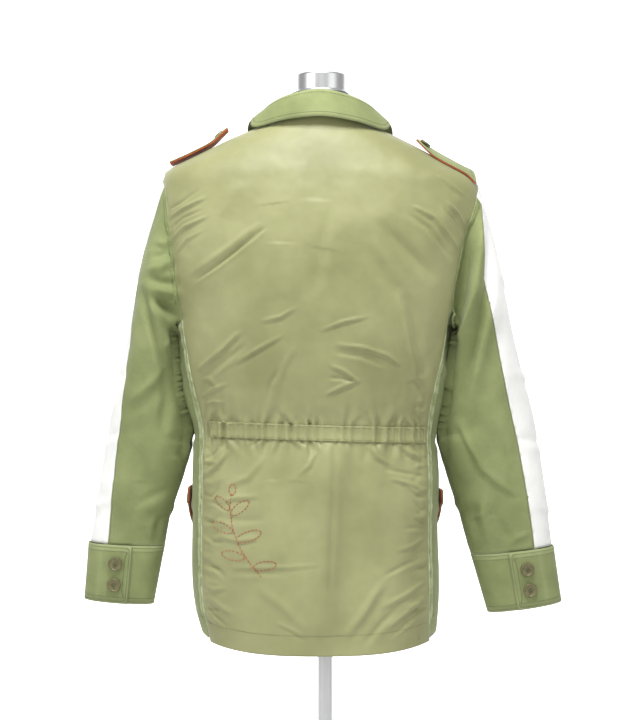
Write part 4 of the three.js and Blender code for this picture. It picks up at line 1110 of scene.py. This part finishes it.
# %% [markdown]
# The hem is turned up and sewn once, in khaki thread. The rows of the felled seams and of the sleeves' seams
# are sewn in dark green.

# %% Sewing lines of the body and sleeves
HEM_TURN = 27 * MM


def low_edge(a, b):
    return max(a.z, b.z) < 0.60 and abs(a.x - BODY_X) < 0.2


for line in edges_of(sewn_mesh, low_edge)[:1]:
    sewn_rows("hem_stitches", "back_panel", [row(SKIN, line, HEM_TURN, PITCH, 2 * MM)], PALE_THREAD)
sewn_rows("body_stitches", "front_left", body_rows)
for side in SIDES:
    sewn_rows("sleeve_stitches_" + side, "sleeve_" + side + "_back", sleeve_rows[side])
print("rows on the body:", len(body_rows), " on each sleeve:", len(sleeve_rows["left"]))

# %% [markdown]
# The single pieces have one or two rows along their own edges: khaki on the waist casing and dark green on
# the others. The numbers are the rows' distances from the edge in millimetres.

# %% Sewing lines of the single pieces
INSETS = {"waist_casing": (2.6,), "collar": (6.5,), "front_placket": (3, 9)}
for kind, insets in (("cuff_", (3, 8.5)), ("epaulette_", (6,)), ("pocket_", (3, 8)), ("pocket_flap_", (6,))):
    for side in SIDES:
        INSETS[kind + side] = insets
for node, insets in INSETS.items():
    tree = tree_of(skins[node])
    rows = [row(tree, line, inset * MM, PITCH) for line in edges_of(skins[node]) for inset in insets]
    sewn_rows(node + "_stitches", node, rows, PALE_THREAD if node == "waist_casing" else THREAD)
print("stitch rows on:", len(INSETS), "pieces")

# %% [markdown]
# A sprig is sewn on the back in rust-red running stitch. Its stem and leaves are drawn as lines in the
# photograph's small squares and dropped on the folded cloth.

# %% Sprig in running stitch
def leaf(column, row_at, turn, length, width):
    shape = []
    for t in np.linspace(0, 1, 15):
        along, aside = length * (0.5 - 0.5 * math.cos(t * math.tau)), width * math.sin(t * math.tau) * 0.5
        angle = math.radians(turn)
        shape.append((column + along * math.cos(angle) - aside * math.sin(angle),
                      row_at - along * math.sin(angle) - aside * math.cos(angle)))
    return shape


# Each leaf: its foot's column and row, its turn in degrees, its length and its width
LEAVES = [(253, 567, 8, 24, 9), (245, 558, 172, 25, 9), (236, 541, 20, 27, 10), (233, 533, 160, 24, 9),
          (230, 516, 38, 24, 9), (229, 511, 138, 20, 8), (231, 497, 84, 13, 7)]
SPRIG = [[(262, 577), (252, 566), (240, 549), (232, 529), (229, 508), (231, 494)]]
SPRIG += [leaf(*values) for values in LEAVES]
RUNNING_PITCH = 5.2 * MM
sprig_rows = []
for line in SPRIG:
    flat = np.array([spot(c, r, BACK_DEPTH) for c, r in line]) * MM
    lengths = np.concatenate(([0], np.cumsum(np.linalg.norm(np.diff(flat, axis=0), axis=1))))
    at = np.linspace(0, lengths[-1], max(2, round(lengths[-1] / RUNNING_PITCH)) + 1)
    points, normals = [], []
    for x, z in zip(np.interp(at, lengths, flat[:, 0]), np.interp(at, lengths, flat[:, 1])):
        place, normal = SKIN.ray_cast(Vector((x, 0.4, z)), Vector((0, -1, 0)))[:2]
        points.append(place + normal * 0.35 * MM)
        normals.append(normal)
    sprig_rows.append((np.array(points), np.array(normals)))
SPRIG_THREAD = woven("rust-red topstitching thread", "#a8402c", "#c25a42", 0.6, 0.4, 0.2, 0.1)
sewn_rows("sprig_stitches", "back_panel", sprig_rows, SPRIG_THREAD, 4.2 * MM, 1.2 * MM)
print("sprig:", len(SPRIG), "lines")

# %% [markdown]
# A sewn button has a raised rim, a sunk middle, four holes and a cross of thread. It is turned on a lathe and
# drilled, once for each size, and copied to where the plain buttons are.

# %% Buttons
def lathe(bm, profile, steps):
    verts = [bm.verts.new((radius * MM, 0, height * MM)) for radius, height in profile]
    edges = [bm.edges.new(pair) for pair in zip(verts, verts[1:])]
    bmesh.ops.spin(bm, geom=verts + edges, cent=(0, 0, 0), axis=(0, 0, 1), angle=math.tau, steps=steps,
                   use_merge=True)
    bmesh.ops.remove_doubles(bm, verts=bm.verts, dist=0.01 * MM)
    bmesh.ops.recalc_face_normals(bm, faces=bm.faces)


def rounded(profile, radius, steps=4):
    """The profile with its middle corners rounded"""
    out = [profile[0]]
    for before, corner, after in zip(profile, profile[1:], profile[2:]):
        c = Vector(corner)
        a, b = Vector(before) - c, Vector(after) - c
        reach = min(radius, a.length * 0.45, b.length * 0.45)
        a, b = c + a.normalized() * reach, c + b.normalized() * reach
        for i in range(steps + 1):
            t = i / steps
            out.append(tuple(a * (1 - t) ** 2 + c * 2 * t * (1 - t) + b * t * t))
    return out + [profile[-1]]


HOLE_RADIUS, HOLE_OFFSET = 0.95 * MM, 1.75 * MM


def button_mesh(radius, thickness):
    bm = bmesh.new()
    sunk = thickness - 1.1
    lathe(bm, rounded([(0, 0), (radius * 0.94, 0), (radius, thickness * 0.45), (radius * 0.93, thickness),
                       (radius * 0.8, thickness), (radius * 0.66, sunk), (0, sunk)], 1.0), 40)
    disc = bpy.data.meshes.new("button")
    bm.to_mesh(disc)
    bm.free()
    drills = bmesh.new()
    for x, y in ((1, 1), (1, -1), (-1, 1), (-1, -1)):
        hole = Matrix.Translation((x * HOLE_OFFSET, y * HOLE_OFFSET, 0))
        bmesh.ops.create_cone(drills, cap_ends=True, segments=14, radius1=HOLE_RADIUS, radius2=HOLE_RADIUS,
                              depth=3 * thickness * MM, matrix=hole)
    tool_mesh = bpy.data.meshes.new("drills")
    drills.to_mesh(tool_mesh)
    drills.free()
    body, tool = bpy.data.objects.new("button", disc), bpy.data.objects.new("drills", tool_mesh)
    for thing in (body, tool):
        bpy.context.scene.collection.objects.link(thing)
    cut = body.modifiers.new("Holes", "BOOLEAN")
    cut.operation, cut.object, cut.solver = "DIFFERENCE", tool, "EXACT"
    result = bpy.data.meshes.new_from_object(body.evaluated_get(bpy.context.evaluated_depsgraph_get()))
    for thing in (body, tool):
        bpy.data.objects.remove(thing)
    return result


def button_place(node):
    """The plain button's placing, with its outward axis last, its radius and its thickness"""
    co = places(frame["nodes"][node].data)[0]
    middle = co.mean(axis=0)
    out = Vector(np.linalg.eigh(np.cov((co - middle).T))[1][:, 0])
    centre = Vector(middle)
    hand = "left" if "left" in node else "right"
    if "cuff" in node:
        outward = from_sleeve(hand)(centre)
    else:
        outward = Vector((0, 0, 1)) if "epaulette" in node else from_axis(BODY_X)(centre)
    if out.dot(outward) < 0:
        out = -out
    reach = (co - middle) @ np.array(out)
    level = np.array(out)[None, :] * reach[:, None]
    radius = np.linalg.norm(co - middle - level, axis=1).max()
    base = centre + out * float(reach.min())
    side = out.orthogonal().normalized()
    if "cuff" in node:
        side = (Vector((1, 0, 1)) - out * Vector((1, 0, 1)).dot(out)).normalized()
    placed = Matrix((side, out.cross(side), out)).transposed().to_4x4()
    if "epaulette" in node:
        base = base + Vector((0, 0, tip_of(hand, base.y)))
    placed.translation = base
    return placed, float(radius) / MM, float(reach.max() - reach.min()) / MM


templates = {}
buttons = []
thread_bm = bmesh.new()
for node in sorted(n for n in frame["nodes"] if "button" in n):
    placed, radius, thickness = button_place(node)
    key = (round(radius, 1), round(thickness, 1))
    if key not in templates:
        templates[key] = button_mesh(*key)
    bm = bmesh.new()
    bm.from_mesh(templates[key])
    bmesh.ops.transform(bm, matrix=placed, verts=bm.verts)
    piece = new_piece(node + "_turned", bm, BUTTON, False)
    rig.replaces(piece, node)
    buttons.append(piece)
    for turn in (45, 135):
        lie = placed @ Matrix.Translation((0, 0, (key[1] - 0.75) * MM))
        lie = lie @ Matrix.Rotation(math.radians(turn), 4, "Z")
        lie = lie @ Matrix.Diagonal((2.9 * MM, 0.5 * MM, 0.5 * MM, 1))
        bmesh.ops.create_icosphere(thread_bm, subdivisions=2, radius=1, matrix=lie)
button_threads = new_piece("button_threads", thread_bm, THREAD)
print("buttons:", len(buttons), "of", len(templates), "sizes")

# %% [markdown]
# The stand's cap, pole and base are turned too, with finely rounded edges that catch the light.

# %% Stand
def turned_piece(node, profile, material, steps=96):
    low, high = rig.box(node)
    bm = bmesh.new()
    lathe(bm, profile, steps)
    bmesh.ops.translate(bm, verts=bm.verts, vec=((low.x + high.x) / 2, (low.y + high.y) / 2, 0))
    piece = new_piece(node + "_turned", bm, material)
    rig.replaces(piece, node)
    return piece


cap_low, cap_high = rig.box("neck_cap")
lip, foot, top = (cap_high.x - cap_low.x) / 2 / MM, cap_low.z / MM, cap_high.z / MM
cap = turned_piece("neck_cap", rounded([(0, foot), (lip, foot), (lip, foot + 2.3), (lip - 3, foot + 3.4),
                   (lip - 3, top), (0, top)], 3.2, 6), CHROME)
pole_low, pole_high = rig.box("pole")
foot, top, flange = pole_low.z / MM, pole_high.z / MM, (pole_high.x - pole_low.x) / 2 / MM
pole = turned_piece("pole", rounded([(0, foot), (flange, foot), (flange, foot + 4), (15, foot + 9),
                    (11, foot + 13), (11, top), (0, top)], 1.4), CHROME, 64)
base_low, base_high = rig.box("base")
rim, top = (base_high.x - base_low.x) / 2 / MM, base_high.z / MM
base = turned_piece("base", rounded([(0, 0), (rim, 0), (rim, top), (0, top)], 1.8), CHROME, 128)
print("stand: cap, pole and base")

# %% [markdown]
# The camera stands 2.3 m behind the form's middle, level with the middle of the jacket. A large soft lamp
# overhead makes the folds show. Two at the sides and a dim one behind the camera keep the shade open. The
# floor is plain, and behind the jacket it turns into a lit white backdrop that begins to glow gradually.

# %% Camera, light and floor
camera_data = bpy.data.cameras.new("camera")
camera_data.lens = 82.15
camera_data.sensor_width = 36
camera = bpy.data.objects.new("camera", camera_data)
camera.location = (0.008, 2.3, 0.895)
camera.rotation_euler = (math.radians(90), 0, math.radians(180))
bpy.context.scene.collection.objects.link(camera)
bpy.context.scene.camera = camera


def area_light(name, place, aim, size, power):
    data = bpy.data.lights.new(name, "AREA")
    data.shape = "RECTANGLE"
    data.size, data.size_y = size
    data.energy = power
    light = bpy.data.objects.new(name, data)
    light.location = place
    light.rotation_euler = (Vector(aim) - Vector(place)).to_track_quat("-Z", "Y").to_euler()
    bpy.context.scene.collection.objects.link(light)


area_light("overhead softbox", (0.1, 0.95, 2.8), (0, 0.05, 0.95), (1.2, 0.9), 58)
area_light("left softbox", (2.0, 1.7, 1.5), (0, 0, 0.95), (1.7, 1.5), 17)
area_light("right softbox", (-2.0, 1.7, 1.4), (0, 0, 0.95), (1.7, 1.5), 9)
area_light("card behind the camera", (-0.1, 3.3, 1.3), (0, 0, 1.0), (1.5, 1.2), 5)

world = bpy.data.worlds.new("studio")
world.use_nodes = True
world.node_tree.nodes["Background"].inputs["Color"].default_value = (1, 1, 1, 1)
world.node_tree.nodes["Background"].inputs["Strength"].default_value = 0.33
bpy.context.scene.world = world
bpy.context.scene.view_settings.view_transform = "Standard"


def stage_piece(name, corners, material):
    bm = bmesh.new()
    for quad in corners:
        bm.faces.new([bm.verts.new(c) for c in quad])
    mesh = bpy.data.meshes.new(name)
    bm.to_mesh(mesh)
    bm.free()
    mesh.materials.append(material)
    piece = bpy.data.objects.new(name, mesh)
    bpy.context.scene.collection.objects.link(piece)
    return piece


floor_object = stage_piece("floor", [[(-6, -0.8, 0), (6, -0.8, 0), (6, 6, 0), (-6, 6, 0)]],
                           new_material("pale studio floor", "#f4f4f3", 0.9)[0])
glowing, tree, surface = new_material("lit white backdrop", "#f4f4f3", 0.9, Emission_Color=(1, 1, 1, 1))
where = add_node(tree, "ShaderNodeTexCoord").outputs["Object"]
depth = add_node(tree, "ShaderNodeSeparateXYZ", links={"Vector": where}).outputs["Y"]
glow = add_node(tree, "ShaderNodeMapRange", {"From Min": -0.8, "From Max": -1.75}, {"Value": depth})
tree.links.new(glow.outputs[0], surface.inputs["Emission Strength"])
steps = [(-0.8, 0), (-1.75, 0), (-4.6, 0.35), (-4.8, 6)]
backdrop = stage_piece("backdrop", [[(-6, *far), (6, *far), (6, *near), (-6, *near)]
                                    for near, far in zip(steps, steps[1:])], glowing)
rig.stage(floor_object, backdrop)
print("lights: 4, with a lit backdrop")

# %% [markdown]
# Each sheet states the size its cloth was cut to before it was sewn, in metres across and down, how it is
# held and which pieces it lies on. The right sleeve's stripe and front are cut wider than the left one's.

# %% Cuts of the sheets
CUTS = {"back_panel": (0.45, 0.72), "waist_casing": (0.42, 0.022), "collar": (0.50, 0.09),
        "front_placket": (0.06, 0.66), "form_torso": (0.96, 0.72)}
SMALL_CUTS = {"epaulette_": (0.045, 0.105), "pocket_": (0.145, 0.125), "pocket_flap_": (0.18, 0.064)}
SLEEVE_WIDTHS = {"left": (0.14, 0.09, 0.14), "right": (0.14, 0.11, 0.15)}
LIES_ON = {"waist_casing": ["back_panel"], "collar": ["back_panel"], "front_placket": ["front_left"],
           "form_torso": []}
for side in SIDES:
    front, sleeve = "front_" + side, "sleeve_" + side + "_"
    CUTS[front], CUTS["cuff_" + side] = (0.36, 0.74), (0.345, 0.08)
    LIES_ON["cuff_" + side] = [sleeve + "back", sleeve + "front"]
    for part, width in zip(("back", "stripe", "front"), SLEEVE_WIDTHS[side]):
        CUTS[sleeve + part], LIES_ON[sleeve + part] = (width, 0.58), ["back_panel", front]
    for part, cut in SMALL_CUTS.items():
        for node in (part + side, part + side + "_lining"):
            if node in cloth:
                CUTS[node], LIES_ON[node] = cut, [front]
print("cuts:", len(CUTS))

# %% [markdown]
# Last, each piece gets its material's slot and each sheet its cut. The area is that of the finished cloth,
# less an assumed two hundredths for stretch. Both boxes are written, so that the dressed model's size can be
# set against the plain one's.

# %% Finish
SLOTS = {COTTON: "cotton_twill", NYLON: "nylon_satin", WHITE: "white_twill", RUST: "rust_lining"}
HELD = {"waist_casing": "gathered", "form_torso": "stretched"}
UNSTRETCHED = 0.98
for node, piece in cloth.items():
    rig.slot(piece, SLOTS.get(piece.data.materials[0], "form_jersey"))
    width, length = CUTS[node]
    area = min(areas[node] * UNSTRETCHED, width * length)
    print(node, round(areas[node], 4), "cut", width, "x", length, "share", round(area / width / length, 2))
    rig.sheet(piece, flat=(width, length), held=HELD.get(node, "draped"), area=round(area, 5),
             rests_on=LIES_ON.get(node, ["form_torso"]), with_pieces=with_cloth.get(node, []))
for node, pieces in with_cloth.items():
    for piece in pieces:
        band = piece.data.materials[0] is FELLED
        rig.slot(piece, "cotton_twill" if band or node != "back_panel" else "nylon_satin")
for piece in buttons + [button_threads]:
    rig.slot(piece, "button_plastic")
for piece in (cap, pole, base):
    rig.slot(piece, "chrome")
counts = {}
for piece in bpy.context.scene.objects:
    if piece.type == "MESH" and not piece.hide_render:
        counts[piece.name] = sum(len(p.vertices) - 2 for p in piece.data.polygons)
print("triangles:", sum(counts.values()), sorted(counts.items(), key=lambda c: -c[1])[:6])
now_low, now_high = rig.bounds()
with open("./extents.json", "w") as file:
    json.dump({"cad": [list(cad_low), list(cad_high)], "visual": [list(now_low), list(now_high)]}, file)
